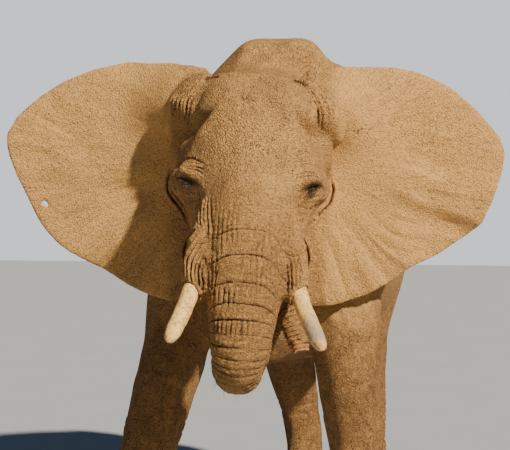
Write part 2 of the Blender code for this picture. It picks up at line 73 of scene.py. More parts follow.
BODY = "root"
LEFT, RIGHT = 1, -1
SIDES = {LEFT: "left", RIGHT: "right"}
FLESH = [
    "body", "neck", "head", "lower_jaw", "trunk_upper", "trunk_bend", "trunk_rise", "trunk_hook", "trunk_tip",
    "ear_left", "ear_right", "foreleg_left", "foreleg_right", "hindleg_left", "hindleg_right", "tail",
]


# ---- places worked out from the frame ----
def low_high(node):
    """The low and the high corner of a node's box."""
    return map(np.array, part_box(node))


def middle(node):
    low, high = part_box(node)
    return (Vector(low) + Vector(high)) / 2


EYE_AT = {LEFT: middle("eye_left"), RIGHT: middle("eye_right")}
EYE_RADIUS = (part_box("eye_left")[1][2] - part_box("eye_left")[0][2]) / 2
EYE_LINE = (EYE_AT[LEFT] - EYE_AT[RIGHT]).normalized()
HEAD_TURN = math.atan2(EYE_LINE.y, EYE_LINE.x)
HEAD_ROLL = math.asin(-EYE_LINE.z)
HEAD_AXES = Euler((0, HEAD_ROLL, HEAD_TURN)).to_matrix()
EYES_IN_HEAD = Vector((0, -0.138, 0.010))
HEAD_AT = (EYE_AT[LEFT] + EYE_AT[RIGHT]) / 2 - HEAD_AXES @ EYES_IN_HEAD

# The trunk's centre line in the head's frame: x, y, z, half width, half depth.
TRUNK = [
    (0.0, -0.150, 0.14, 0.185, 0.165),
    (0.0, -0.255, -0.08, 0.200, 0.185),
    (0.0, -0.335, -0.27, 0.203, 0.185),
    (0.0, -0.395, -0.44, 0.200, 0.175),
    (-0.002, -0.435, -0.60, 0.186, 0.163),
    (-0.006, -0.450, -0.74, 0.163, 0.150),
    (-0.012, -0.435, -0.85, 0.147, 0.137),
    (-0.016, -0.380, -0.925, 0.134, 0.124),
    (-0.008, -0.290, -0.955, 0.122, 0.114),
    (0.018, -0.195, -0.930, 0.110, 0.104),
    (0.060, -0.130, -0.860, 0.098, 0.094),
    (0.104, -0.098, -0.775, 0.088, 0.084),
    (0.146, -0.096, -0.695, 0.080, 0.076),
    (0.186, -0.122, -0.645, 0.074, 0.071),
    (0.225, -0.165, -0.642, 0.069, 0.066),
    (0.257, -0.205, -0.688, 0.065, 0.062),
    (0.279, -0.231, -0.755, 0.061, 0.058),
    (0.297, -0.247, -0.812, 0.057, 0.051),
    (0.309, -0.255, -0.852, 0.042, 0.030),
]
# Fans of folds on the left side of the face, as x and z in the head's frame: the first and last fold, how many
# there are, and each one's width and depth.
FANS = [
    ([(0.250, 0.560), (0.300, 0.480), (0.332, 0.410), (0.350, 0.285)],
     [(0.290, 0.590), (0.375, 0.510), (0.428, 0.430), (0.412, 0.305)], 6, 0.0062, 0.018),
    ([(0.205, -0.350), (0.216, -0.420), (0.214, -0.490), (0.212, -0.530)],
     [(0.250, -0.200), (0.318, -0.300), (0.338, -0.390), (0.320, -0.475)], 7, 0.0050, 0.0145),
    ([(0.205, -0.030), (0.196, -0.120), (0.188, -0.210), (0.186, -0.320)],
     [(0.270, -0.060), (0.272, -0.110), (0.264, -0.160), (0.252, -0.220)], 5, 0.0050, 0.0090),
    ([(0.228, 0.046), (0.270, 0.066), (0.325, 0.072), (0.372, 0.050)],
     [(0.235, 0.100), (0.280, 0.128), (0.330, 0.132), (0.390, 0.100)], 4, 0.0048, 0.0080),
    ([(0.250, -0.036), (0.300, -0.046), (0.352, -0.034), (0.385, 0.000)],
     [(0.255, -0.085), (0.305, -0.100), (0.360, -0.080), (0.400, -0.030)], 2, 0.0050, 0.0050),
]
# Folds that lie alone: the path, the width and the depth. Like every fold of the face, each is also painted dark in
# the skin's colour; the edge beside the eye, the gap by the ear and the slit beside the crown are painted near
# black as painted shadow.
LONE_FOLDS = {
    "edge of the face beside the eye": (
        [(0.386, 0.072), (0.400, 0.016), (0.390, -0.020), (0.356, -0.066), (0.330, -0.110), (0.296, -0.190)],
        0.0060, 0.0110,
    ),
    "gap between the face and the ear": (
        [(0.418, 0.100), (0.446, 0.020), (0.450, -0.020), (0.440, -0.062), (0.408, -0.105), (0.358, -0.165),
         (0.312, -0.250)], 0.0062, 0.0240,
    ),
    "slit beside the crown": ([(0.190, 0.574), (0.218, 0.568), (0.248, 0.558), (0.276, 0.543)], 0.0095, 0.0260),
    "corner of the eye": ([(0.262, -0.016), (0.260, -0.050), (0.252, -0.085), (0.256, -0.104)], 0.0045, 0.0120),
}
FANS += [(path, path, 1, width, depth) for path, width, depth in LONE_FOLDS.values()]
# Hollows of the left side of the head: x, z, the short and long half widths, the long one's turn from upright, and
# the depth, which is below 0 for a swelling. The ear's sheet is drawn forward by such a shape.
HOLLOWS = [
    (0.290, 0.318, 0.022, 0.105, 38, 0.038),
    (0.246, 0.300, 0.028, 0.120, 38, -0.010),
    (0.206, -0.160, 0.030, 0.160, -4, 0.012),
    (0.300, -0.150, 0.050, 0.070, 0, 0.010),
    (0.318, 0.090, 0.060, 0.030, 0, 0.012),
]
EAR_DRAWN = (0.43, 0.46, 0.145, 0.22, 34, 0.19)
# Stacks of flesh at the left ear's root, in the head's frame: the middle, the half sizes across, front to back and
# along, the lean from upright, and how far the outer side lies back.
EAR_ROOTS = [
    (0.366, 0.108, 0.420, 0.088, 0.145, 0.195, 32, 0.62),
    (0.368, 0.168, 0.245, 0.058, 0.130, 0.200, 16, 0.90),
]
# Where the trunk's cross creases lie along its centre line; past the last there is one at each step.
RING_PLACES = [0.085, 0.210, 0.330, 0.450, 0.578, 0.700, 0.792, 0.872, 0.938, 0.992, 1.035, 1.065]
RING_STEP = 0.023

# The tusks' centre lines where they leave their sheaths, with x counted outwards, and the sheaths' lips on them.
TUSK_ROOT = {
    LEFT: ((0.240, -0.290, -0.395), (0.2675, -0.385, -0.500)),
    RIGHT: ((0.240, -0.290, -0.395), (0.2603, -0.385, -0.500)),
}
LIP_FROM, LIP_AT, LIP_SLANT = 0.050, 0.178, 0.058
LIP_RADIUS, LIP_THICK = 0.0545, 0.014

# The eyes: the middle of the dark skin round each eye, which also carries painted shade, as x and z in the head's
# frame, its half sizes, the slit's slant, which way the left pupil and slit face, and the slit's half length round
# the eyeball. A lid is its margin and far edge, in degrees from the slit, and its swell off the eyeball.
EYE_SHADE_AT = (0.308, 0.016)
EYE_SHADE_LONG, EYE_SHADE_HIGH = 0.054, 0.021
EYE_SLANT = 24
PUPIL_AIM = (0.86, -0.50, -0.06)
SLIT_AIM = (0.80, -0.60, -0.02)
SLIT_HALF = math.radians(84)
UPPER_LID = (24, 88, 0.42)
LOWER_LID = (-25, -80, 0.30)

# The middle of the ears' roots, from which their folds spread, and the spots of dried mud: the middle and the
# half widths, all as x and z in the head's frame.
EAR_FAN_AT = (0.20, 0.12)
MUD_SPOTS = [(-0.03, 0.462, 0.055, 0.026), (0.58, 0.325, 0.11, 0.040)]

# The trunk's lengthwise grooves, and the depths at which grooves, wrinkles and folds are painted darkest, partly as
# dirt and partly as painted shade.
GROOVE_STEP, GROOVE_WIDTH, GROOVE_DEPTH = 0.031, 0.0048, 0.0068
DARK_GROOVE, DARK_WRINKLE, DARK_FOLD = 0.010, 0.004, 0.012
# The legs' folds: the joints' heights, the folds to the metre and their width.
KNEE, ANKLE = 0.62, 0.30
LEG_FOLDS, LEG_FOLD_WIDTH = 17, 0.0085

# The nails on each foot, half a nail's height, how square its rounded solid is made (1 leaves it round), how far it
# swells, and the gap it leaves above the floor.
NAILS = {"fore_left": 4, "fore_right": 4, "hind_left": 3, "hind_right": 3}
NAIL_HALF, NAIL_SQUARE, NAIL_GAP = 0.044, 0.72, 0.004
NAIL_SWELL = (1.06, 1.06, 0.93)

DOWN = Vector((0, 0, -1))
STEPS_ALONG = 12
WEIGHT_LEVELS = 16
SEAM_WIDTH = 0.11
HAIR_SIDES = 4
TUFT_HAIRS, LASHES_EACH, BRISTLES = 420, 44, 620
LASH_THICK, BRISTLE_THICK = 0.0009, 0.0006

# Colours that go with the ones a user sets.
# Darker hide on the legs, laid on more towards their bottom.
DARKER_LEG_HIDE = (0.150, 0.072, 0.026)
# Dark skin round the eyes, with painted shade of the socket over it.
EYE_SHADE = (0.030, 0.017, 0.010)
DRIED_MUD = (0.11, 0.055, 0.025)
# Painted shade inside the nostrils.
NOSTRIL_SHADE = (0.020, 0.010, 0.006)
CLOUDED_IVORY = (0.66, 0.43, 0.19)
CRACKED_IVORY = (0.22, 0.10, 0.035)
SCRAPED_IVORY = (0.38, 0.30, 0.22)
TUSK_TIP = (0.70, 0.38, 0.12)
# Stain and painted shade at the tusk's root.
TUSK_BASE_STAIN_AND_SHADE = (0.34, 0.20, 0.09)
OLD_HORN = (0.24, 0.18, 0.12)
DIRT = (0.42, 0.28, 0.16)
IRIS_RAYS = (0.30, 0.14, 0.045)
PUPIL = (0.002, 0.002, 0.002)
EYE_RIM = (0.030, 0.018, 0.012)
BLEACHED_HAIR = (0.085, 0.058, 0.040)
FLOOR = (0.41, 0.42, 0.43), (0.45, 0.46, 0.47)
SKY_LIGHT = (0.45, 0.65, 1.0, 1)
BACKDROP = (0.80, 0.84, 0.88, 1)


class SkinSizes(bpy.types.PropertyGroup):
    grain: FloatProperty(
        name="Grain", description="Edge of the grid the skin is laid on", default=0.0095, unit="LENGTH"
    )
    faces: IntProperty(name="Triangles", description="Triangles the finished skin keeps", default=183000)
    lap: FloatProperty(
        name="Lap", description="How far the solids swell so that they join", default=0.0015, unit="LENGTH"
    )
    crease: FloatProperty(
        name="Trunk Crease", description="Depth of the trunk's cross creases", default=0.0085, unit="LENGTH"
    )
    ear_fold: FloatProperty(
        name="Ear Fold", description="Height of the ears' spreading folds", default=0.025, unit="LENGTH"
    )
    sag: FloatProperty(
        name="Body Folds", description="Height of the folds in the body's hide", default=0.010, unit="LENGTH"
    )


class SkinColours(bpy.types.PropertyGroup):
    dust: FloatVectorProperty(
        name="Dust", description="Dry tan dust", subtype="COLOR", default=(0.710, 0.380, 0.125)
    )
    hide: FloatVectorProperty(
        name="Hide", description="Bare hide", subtype="COLOR", default=(0.370, 0.190, 0.062)
    )
    ear: FloatVectorProperty(
        name="Ear", description="Thin skin of the ears", subtype="COLOR", default=(0.730, 0.395, 0.122)
    )
    # the cracks' colour also darkens the creases and folds, partly as dirt and partly as painted shade
    cracks_and_fold_shade: FloatVectorProperty(
        name="Cracks", description="Depths of the folds", subtype="COLOR", default=(0.085, 0.042, 0.020)
    )
    mouth: FloatVectorProperty(
        name="Nostril", description="Pink inside the trunk's tip", subtype="COLOR", default=(0.62, 0.28, 0.10)
    )


class HardColours(bpy.types.PropertyGroup):
    ivory: FloatVectorProperty(name="Ivory", description="Ivory", subtype="COLOR", default=(0.95, 0.60, 0.20))
    stain: FloatVectorProperty(
        name="Stain", description="Worn, stained ivory", subtype="COLOR", default=(0.46, 0.25, 0.09)
    )
    nail: FloatVectorProperty(
        name="Nail", description="Horn of the nails", subtype="COLOR", default=(0.40, 0.33, 0.25)
    )
    iris: FloatVectorProperty(
        name="Iris", description="Ring of the eye", subtype="COLOR", default=(0.14, 0.060, 0.018)
    )


class HairSizes(bpy.types.PropertyGroup):
    lash: FloatProperty(name="Lash", description="Longest eyelash", default=0.075, unit="LENGTH")
    tuft: FloatProperty(name="Tuft", description="Longest hair of the tail", default=0.26, unit="LENGTH")
    bristle: FloatProperty(name="Bristle", description="Longest bristle", default=0.045, unit="LENGTH")
    colour: FloatVectorProperty(name="Hair", description="Hair", subtype="COLOR", default=(0.022, 0.017, 0.013))


# ---- shader sums ----
class Link:
    """A shader socket that takes part in sums."""

    def __init__(self, finish, socket):
        self.finish, self.socket = finish, socket

    def _maths(self, operation, *values):
        return self.finish.node("ShaderNodeMath", {"operation": operation}, dict(enumerate(values)))

    def __add__(self, other):
        return self._maths("ADD", self, other)

    def __mul__(self, other):
        return self._maths("MULTIPLY", self, other)

    def __sub__(self, other):
        return self._maths("SUBTRACT", self, other)

    def __rsub__(self, other):
        return self._maths("SUBTRACT", other, self)

    __radd__, __rmul__ = __add__, __mul__

    def cycle(self):
        """0 where the value is a whole number, rising to 1 half way between two."""
        return self._maths("PINGPONG", self, 0.5) * 2

    def ramp(self, low, high):
        """0 below low, 1 above high and smooth between; the other way round when low is above high."""
        ends = {"From Min": low, "From Max": high}
        flip = low > high
        if flip:
            ends = {"From Min": high, "From Max": low}
        made = self.finish.node("ShaderNodeMapRange", {"interpolation_type": "SMOOTHSTEP"}, {"Value": self, **ends})
        return 1 - made if flip else made


class Finish:
    """A material and its nodes."""

    def __init__(self, name, roughness, **sockets):
        self.material = bpy.data.materials.new(name)
        self.material.use_nodes = True
        self.tree = self.material.node_tree
        self.shader = self.tree.nodes["Principled BSDF"]
        self.shader.inputs["Roughness"].default_value = roughness
        for socket, value in sockets.items():
            self.shader.inputs[socket.replace("_", " ")].default_value = value

    def node(self, kind, settings=None, inputs=None, output=0):
        """A node with its settings, which are set first, and the values or links of its sockets."""
        made = self.tree.nodes.new(kind)
        for setting, value in (settings or {}).items():
            setattr(made, setting, value)
        for key, value in (inputs or {}).items():
            if isinstance(value, Link):
                self.tree.links.new(value.socket, made.inputs[key])
            else:
                made.inputs[key].default_value = value
        return Link(self, made.outputs[output])

    def place(self, stretch=(1, 1, 1)):
        """The place on the piece, stretched for a pattern."""
        where = self.node("ShaderNodeTexCoord", output="Object")
        return self.node("ShaderNodeMapping", {}, {"Vector": where, "Scale": stretch})

    def noise(self, place, scale, detail=3.0, roughness=0.55):
        inputs = {"Vector": place, "Scale": scale, "Detail": detail, "Roughness": roughness}
        return self.node("ShaderNodeTexNoise", {}, inputs)

    def cells(self, place, scale, feature="DISTANCE_TO_EDGE"):
        return self.node("ShaderNodeTexVoronoi", {"feature": feature}, {"Vector": place, "Scale": scale})

    def shaken(self, place, scale, amount):
        """The place pushed about by noise, so that a pattern on it isn't regular."""
        colour = self.node("ShaderNodeTexNoise", {}, {"Vector": place, "Scale": scale, "Detail": 2.0}, "Color")
        push = self.node("ShaderNodeVectorMath", {"operation": "SCALE"}, {0: colour, "Scale": amount})
        return self.node("ShaderNodeVectorMath", {"operation": "ADD"}, {0: place, 1: push})

    def lines(self, place, scale, width, detail=2.0):
        """Thin wandering lines: 1 on a line and 0 away from it."""
        return 1 - (self.noise(place, scale, detail) * 2).cycle().ramp(0.0, width)

    def spot(self, attribute):
        """A number that the piece's mesh stores for each of its points."""
        return self.node("ShaderNodeAttribute", {"attribute_name": attribute}, output="Fac")

    def mix(self, share, below, above):
        below, above = ((*c, 1) if isinstance(c, tuple) else c for c in (below, above))
        return self.node("ShaderNodeMix", {"data_type": "RGBA"}, {0: share, 6: below, 7: above}, 2)

    def paint(self, under, *coats):
        """Lays coats of colour over the one under them, each with its share, and paints the piece with the last."""
        for share, colour in coats:
            under = self.mix(share, under, colour)
        self.tree.links.new(under.socket, self.shader.inputs["Base Color"])

    def rough(self, link):
        self.tree.links.new(link.socket, self.shader.inputs["Roughness"])

    def bump(self, height, distance, strength=1.0):
        made = self.node("ShaderNodeBump", {}, {"Height": height, "Distance": distance, "Strength": strength})
        self.tree.links.new(made.socket, self.shader.inputs["Normal"])


def plain(colour):
    return tuple(colour[:3])


def skin_finish(colours):
    """Dusty hide: patches of dust, pebbled grain, nets of fine wrinkles that follow the form, and folds darkened
    partly by dirt and partly by painted shade.
    """
    dust, hide, ear = plain(colours.dust), plain(colours.hide), plain(colours.ear)
    f = Finish("skin", 0.88, Specular_IOR_Level=0.20)
    place = f.place()
    trunk, ring, gap, down, around = map(f.spot, ("trunk", "ring", "gap", "down", "around"))
    fold, ears, ray, reach, legs = map(f.spot, ("fold", "ear", "ray", "reach", "legs"))
    nostril, orbit, grainy, mud, pit = map(f.spot, ("nostril", "orbit", "grainy", "mud", "pit"))
    bare = 1 - ears
    plain_hide = bare * (1 - trunk)
    worn = 1 - grainy * 0.75
    # the bare hide: pebbles, specks, and nets of wrinkles
    pebbles = f.cells(f.shaken(place, 40, 0.012), 100, "F1").ramp(0.05, 0.70)
    specks = f.noise(place, 100, 2.0, 0.6).ramp(0.54, 0.68)
    grit = f.noise(place, 165, 2.0, 0.7)
    fine_net = f.lines(f.place((1, 1, 1.3)), 70, 0.12) * worn
    net = f.lines(place, 23, 0.07, 3.0) * worn
    lumps_small = f.noise(place, 38, 3.0, 0.6) * (1 - grainy * 0.6)
    clots = f.cells(f.shaken(place, 30, 0.02), 48, "F1").ramp(0.42, 0.12) * mud
    patches = f.noise(place, 2.6, 5.0, 0.6).ramp(0.34, 0.66)
    small_patches = f.noise(place, 13, 4.0, 0.65).ramp(0.35, 0.70)
    # the legs and the body: long wrinkles, crossed by short ones
    leg_lines = f.lines(f.place((1, 1, 0.42)), 13, 0.09, 3.0) * 0.7
    leg_lines = leg_lines + f.lines(f.place((1, 1, 2.4)), 9, 0.08, 3.0) * 0.6
    # the trunk: cross creases, finer ones between them, and short lengthwise wrinkles
    crease = (1 - (ring.cycle() * gap * 0.5).ramp(0.0006, 0.0042)) * trunk * f.noise(place, 9, 2.0).ramp(0.36, 0.56)
    rings = f.lines(f.place((1, 1, 3.6)), 15, 0.17, 3.0)
    grooves = 1 - (around * 32 + f.noise(place, 6, 2.0) * 1.6).cycle().ramp(0.0, 0.26)
    grooves = grooves * f.noise(f.place((1, 1, 0.8)), 14, 2.0).ramp(0.42, 0.56) * down.ramp(1.06, 0.90)
    upright = f.lines(f.place((3.4, 3.4, 1)), 12, 0.14, 3.0)
    trunk_lines = (rings * 0.60 + grooves * 0.60 + upright * 0.45) * trunk
    # the ears: wrinkles along their rays
    rays = f.node("ShaderNodeCombineXYZ", {}, {0: ray * 9, 1: reach * 3.4})
    veins = f.lines(rays, 1.1, 0.05, 3.0) * 0.8 + f.lines(rays, 2.6, 0.07, 3.0) * 0.6
    veins = veins * ears * reach.ramp(0.15, 0.75)
    # how dark each kind of mark is; the darkness of the creases and folds is partly dirt and partly painted shade
    marks = (
        specks * (grainy * 0.14 + 0.19)
        + pebbles * 0.23
        + grit.ramp(0.46, 0.62) * (grainy * 0.22 + 0.20)
        + fine_net * (bare * 0.14 + 0.06)
        + net * (plain_hide * 0.12 + 0.04)
        + leg_lines * plain_hide * (legs * 0.28 + 0.08)
        + veins * 0.16
        + trunk_lines * 0.17
        + crease * 0.42
        + fold * fold * 0.85
    )
    f.paint(
        f.mix(patches * 0.45 + small_patches * 0.30, dust, hide),
        (ears * 0.85, f.mix(small_patches * 0.35 + patches * 0.35, ear, dust)),
        # the trunk darker, partly its own darker hide and partly painted shade; the legs darker towards the bottom
        (trunk * 0.45 + legs * 0.75, hide),
        (legs * small_patches * 0.35 + legs * 0.10, DARKER_LEG_HIDE),
        (marks.ramp(0.0, 1.05), plain(colours.cracks_and_fold_shade)),
        # painted shade round the eyes, over their dark, moist skin
        (orbit * 0.85, EYE_SHADE),
        (clots * 0.90, DRIED_MUD),
        (nostril * f.noise(place, 26, 3.0).ramp(0.25, 0.48), plain(colours.mouth)),
        # painted shade inside the nostrils, where the trunk's end is dished in
        (pit, NOSTRIL_SHADE),
    )
    # how far each kind stands up or is cut in
    height = (
        lumps_small * 0.50
        + grit * (grainy * 0.40 + 0.30)
        + clots * 0.9
        - pebbles * (grainy * 0.40 + 0.38)
        - specks * 0.34
        - fine_net * (bare * 0.20 + 0.08)
        - net * (bare * 0.22 + 0.12)
        - leg_lines * (plain_hide * 0.50)
        - veins * 0.32
        - trunk_lines * 0.55
        - crease * 0.55
    )
    f.bump(height, 0.0085)
    return f.material


def ivory_finish(colours):
    """Worn ivory: stained and darkened with painted shade at the base, cracked and streaked along its length, and
    stained orange-tan at the tip.
    """
    f = Finish("ivory", 0.42, Specular_IOR_Level=0.25)
    place, along, left = f.place(), f.spot("along"), f.spot("left")
    clouds = f.noise(place, 16, 4.0, 0.6)
    cracks = f.cells(f.shaken(f.place((1, 0.3, 1)), 16, 0.05), 46).ramp(0.0, 0.045)
    streaks = f.noise(f.place((60, 60, 20)), 0.75, 4.0, 0.65).ramp(0.48, 0.66)
    scraped = along.ramp(0.52, 0.80) * along.ramp(0.995, 0.93) * left * clouds.ramp(0.30, 0.50)
    f.paint(
        plain(colours.ivory),
        (clouds.ramp(0.42, 0.74) * 0.50, CLOUDED_IVORY),
        (streaks * 0.80, plain(colours.stain)),
        ((1 - cracks) * clouds.ramp(0.32, 0.55) * 0.80, CRACKED_IVORY),
        (scraped * 0.75, SCRAPED_IVORY),
        (along.ramp(0.92, 1.0) * 0.80, TUSK_TIP),
        # darker towards the root: partly stain, partly painted shade where the sheath's lip closes over the tusk
        (along.ramp(0.42, 0.10) * 0.75 * clouds.ramp(0.2, 0.6), TUSK_BASE_STAIN_AND_SHADE),
    )
    f.rough(clouds * 0.25 + 0.30)
    f.bump(cracks * 0.6 + streaks * -0.5 + clouds * 0.4, 0.0016, 0.8)
    return f.material


def nail_finish(colours):
    """Dirty horn, streaked as it grows."""
    f = Finish("nail", 0.6, Specular_IOR_Level=0.3)
    grow = f.noise(f.place((6, 6, 60)), 1.2, 4.0, 0.6)
    dirt = f.noise(f.place(), 30, 4.0, 0.6)
    f.paint(plain(colours.nail), (grow.ramp(0.35, 0.7) * 0.6, OLD_HORN), (dirt.ramp(0.5, 0.75) * 0.6, DIRT))
    f.rough(dirt * 0.3 + 0.45)
    f.bump(grow + dirt * 0.5, 0.0015, 0.8)
    return f.material


def eye_finish(colours):
    """A wet eyeball: black pupil, rayed iris and dark rim."""
    f = Finish("eye", 0.05, Specular_IOR_Level=0.5, Coat_Weight=0.6, Coat_Roughness=0.02)
    out = f.spot("from_pupil")
    rays = f.noise(f.place(), 420, 2.0, 0.6).ramp(0.35, 0.7)
    f.paint(plain(colours.iris), (rays, IRIS_RAYS), (out.ramp(0.42, 0.36), PUPIL), (out.ramp(0.66, 0.78), EYE_RIM))
    return f.material


def hair_finish(sizes):
    f = Finish("hair", 0.55, Specular_IOR_Level=0.35)
    tone = f.noise(f.place(), 60, 2.0)
    f.paint(plain(sizes.colour), (tone.ramp(0.4, 0.8) * 0.6, BLEACHED_HAIR))
    f.rough(tone * 0.2 + 0.45)
    return f.material


def floor_finish():
    f = Finish("floor", 0.9)
    f.paint(FLOOR[0], (f.noise(f.place(), 1.5, 3.0), FLOOR[1]))
    return f.material


# ---- working on meshes ----
def deselect():
    if bpy.context.mode != "OBJECT":
        bpy.ops.object.mode_set(mode="OBJECT")
    bpy.ops.object.select_all(action="DESELECT")


def select(*things):
    deselect()
    for thing in things:
        thing.select_set(True)
    bpy.context.view_layer.objects.active = things[0]


@contextmanager
def edit_mode(thing):
    """Opens a mesh in edit mode with all of it selected, and leaves edit mode afterwards."""
    select(thing)
    bpy.ops.object.mode_set(mode="EDIT")
    bpy.ops.mesh.select_all(action="SELECT")
    yield
    bpy.ops.object.mode_set(mode="OBJECT")


def new_object(name, data):
    made = bpy.data.objects.new(name, data)
    bpy.context.scene.collection.objects.link(made)
    return made


def copy_node(node, name):
    """A copy of a node's mesh as a new object, with its loose triangles merged."""
    made = new_object(name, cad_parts[node].data.copy())
    made.data.materials.clear()
    with edit_mode(made):
        bpy.ops.mesh.remove_doubles(threshold=0.00005)
    return made


def modify(thing, kind, **settings):
    """Adds a modifier and applies it."""
    made = thing.modifiers.new(kind.lower(), kind)
    for name, value in settings.items():
        setattr(made, name, value)
    select(thing)
    bpy.ops.object.modifier_apply(modifier=made.name)


def joined(name, things):
    select(*things)
    bpy.ops.object.join()
    made = bpy.context.view_layer.objects.active
    made.name = made.data.name = name
    return made


def vectors(thing, name):
    """One vector for each of a mesh's points."""
    found = np.empty(len(thing.data.vertices) * 3, np.float32)
    thing.data.vertices.foreach_get(name, found)
    return found.reshape(-1, 3).astype(float)


def corners(thing):
    return vectors(thing, "co")


def normals(thing):
    return vectors(thing, "normal")


def move_to(thing, points):
    thing.data.vertices.foreach_set("co", np.ascontiguousarray(points, np.float32).ravel())
    thing.data.update()


def keep(thing, name, values):
    """Stores a number for each corner, for the finish to read."""
    stored = thing.data.attributes.new(name, "FLOAT", "POINT")
    stored.data.foreach_set("value", np.ascontiguousarray(values, np.float32))


def group(thing, name, weights):
    """A vertex group from an array of weights, rounded to a few levels."""
    made = thing.vertex_groups.new(name=name)
    levels = np.round(np.clip(weights, 0, 1) * WEIGHT_LEVELS).astype(int)
    for level in range(1, WEIGHT_LEVELS + 1):
        made.add(np.nonzero(levels == level)[0].tolist(), level / WEIGHT_LEVELS, "REPLACE")


def finish_piece(thing, finish, replaced=()):
    """Gives a piece its finish and its body, and hides the nodes that it stands for."""
    thing.data.materials.clear()
    thing.data.materials.append(finish)
    select(thing)
    bpy.ops.object.shade_smooth()
    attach(thing, BODY)
    if replaced:
        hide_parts(*replaced)


# ---- numbers over the surface ----
def smooth_step(values, low, high):
    """0 at low, 1 at high and smooth between; the other way round when low is above high."""
    t = np.clip((values - low) / (high - low), 0, 1)
    return t * t * (3 - 2 * t)


def lumps(points, scale, seed):
    """Smooth noise from -1 to 1; scale is its lumps to the metre, one number or one for each axis."""
    at = points * np.asarray(scale, float) + 37.7 * (seed + 1)
    cell = np.floor(at).astype(np.int64)
    part = at - cell
    part = part * part * (3 - 2 * part)
    total = np.zeros(len(points))
    for corner in itertools.product((0, 1), repeat=3):
        spot = cell + corner
        mixed = (spot[:, 0] * 73856093) ^ (spot[:, 1] * 19349663) ^ (spot[:, 2] * 83492791)
        mixed = (mixed ^ (mixed >> 13)) * 1274126177 & 0xFFFFFFFF
        share = np.prod(np.where(corner, part, 1 - part), axis=1)
        total += share * (((mixed >> 9) & 0xFFFF) / 32767.5 - 1)
    return total


def to_head(points):
    return (points - np.array(HEAD_AT)) @ np.array(HEAD_AXES)


def turn_to_head(arrows):
    return arrows @ np.array(HEAD_AXES)


def from_head(arrows):
    return arrows @ np.array(HEAD_AXES).T


def move_in_head(thing, local):
    """Moves a mesh's points to places in the head's frame."""
    move_to(thing, from_head(local) + np.array(HEAD_AT))


def eye_distance(points, side):
    return np.linalg.norm(points - np.array(EYE_AT[side]), axis=1)


def off_whole(numbers):
    """How far each number is from the nearest whole one."""
    return np.abs(numbers - np.round(numbers))


def mound(across, along, wide, long):
    """A smooth mound of height 1."""
    return np.exp(-((across / wide) ** 2) - (along / long) ** 2)


def smooth_rows(rows, steps):
    """The rows with a smooth Catmull-Rom run of rows between each two of them."""
    rows = np.array(rows, float)
    ends = np.vstack([2 * rows[0] - rows[1], rows, 2 * rows[-1] - rows[-2]])
    made = []
    for a, b, c, d in zip(ends, ends[1:], ends[2:], ends[3:]):
        for t in np.arange(steps) / steps:
            bend = (2 * a - 5 * b + 4 * c - d) * t**2 + (3 * b - 3 * c + d - a) * t**3
            made.append(b + 0.5 * ((c - a) * t + bend))
    return np.array([*made, rows[-1]])


def path_distance(flat, path):
    """Each flat point's distance from a smooth path, and how far along the path it is, from 0 to 1."""
    line = smooth_rows(path, 5)
    best = np.full(len(flat), 9.0)
    along = np.zeros(len(flat))
    for k, (a, b) in enumerate(zip(line, line[1:])):
        t = np.clip(((flat - a) @ (b - a)) / max((b - a) @ (b - a), 1e-9), 0, 1)
        gap = np.linalg.norm(flat - a - t[:, None] * (b - a), axis=1)
        nearer = gap < best
        best[nearer] = gap[nearer]
        along[nearer] = (k + t[nearer]) / (len(line) - 1)
    return best, along


def groove(gap, width):
    """A fold's profile: a cut between two swollen edges."""
    return np.exp(-((gap / width) ** 2)) - 0.42 * np.exp(-(((gap - 2.1 * width) / (1.2 * width)) ** 2))


class TrunkPlace:
    """Where each point lies on the trunk: along it and down its creases, round it, and how near its centre line."""

    def __init__(self, local):
        line = smooth_rows(TRUNK, STEPS_ALONG)
        centres = line[:, :3]
        steps = np.linalg.norm(np.diff(centres, axis=0), axis=1)
        run = np.concatenate([[0], np.cumsum(steps)])
        inside = (local[:, 2] < 0.2) & (local[:, 2] > -1.15) & (np.abs(local[:, 0]) < 0.45) & (local[:, 1] < 0.1)
        near = np.nonzero(inside)[0]
        self.along, self.angle = np.zeros(len(local)), np.zeros(len(local))
        self.out, self.radius = np.full(len(local), 9.0), np.full(len(local), 0.1)
        ahead = np.gradient(centres, axis=0)
        ahead /= np.linalg.norm(ahead, axis=1)[:, None]
        side = np.array([1.0, 0, 0]) - ahead[:, :1] * ahead
        side /= np.linalg.norm(side, axis=1)[:, None]
        front = np.cross(ahead, side)
        for block in np.array_split(near, max(1, len(near) // 20000)):
            offset = local[block, None, :] - centres[None]
            reach = np.linalg.norm(offset, axis=2) / line[None, :, 3]
            best = reach.argmin(1)
            rest = offset[np.arange(len(block)), best]
            slide = (rest * ahead[best]).sum(1)
            self.along[block] = run[best] + slide
            self.angle[block] = np.arctan2((rest * side[best]).sum(1), (rest * front[best]).sum(1))
            self.radius[block] = line[best, 3]
            self.out[block] = np.linalg.norm(rest - slide[:, None] * ahead[best], axis=1) / line[best, 3]
        # the creases droop at the sides and wander, so a point's place down them isn't its place along the trunk
        beside = (1 - np.cos(self.angle)) ** 1.7 * np.where(self.angle > 0, 0.15, 0.09)
        droop = beside * smooth_step(self.along, 0.98, 0.72)
        wander = 0.012 * lumps(local, 5, 3) + 0.004 * lumps(local, 17, 4)
        self.down = self.along - droop + wander * smooth_step(self.along, 1.1, 0.85)
        self.around = np.abs(self.angle) * self.radius
        places = np.concatenate([RING_PLACES, np.arange(RING_PLACES[-1] + RING_STEP, 2.3, RING_STEP)])
        self.ring = np.interp(self.down, places, range(len(places)))
        self.gap = np.interp(self.down, (places[1:] + places[:-1]) / 2, np.diff(places))


def leaning(across, up, turn):
    """Turns flat places by an angle from upright: across the lean, and along it."""
    lean = math.radians(turn)
    return across * math.cos(lean) + up * math.sin(lean), up * math.cos(lean) - across * math.sin(lean)


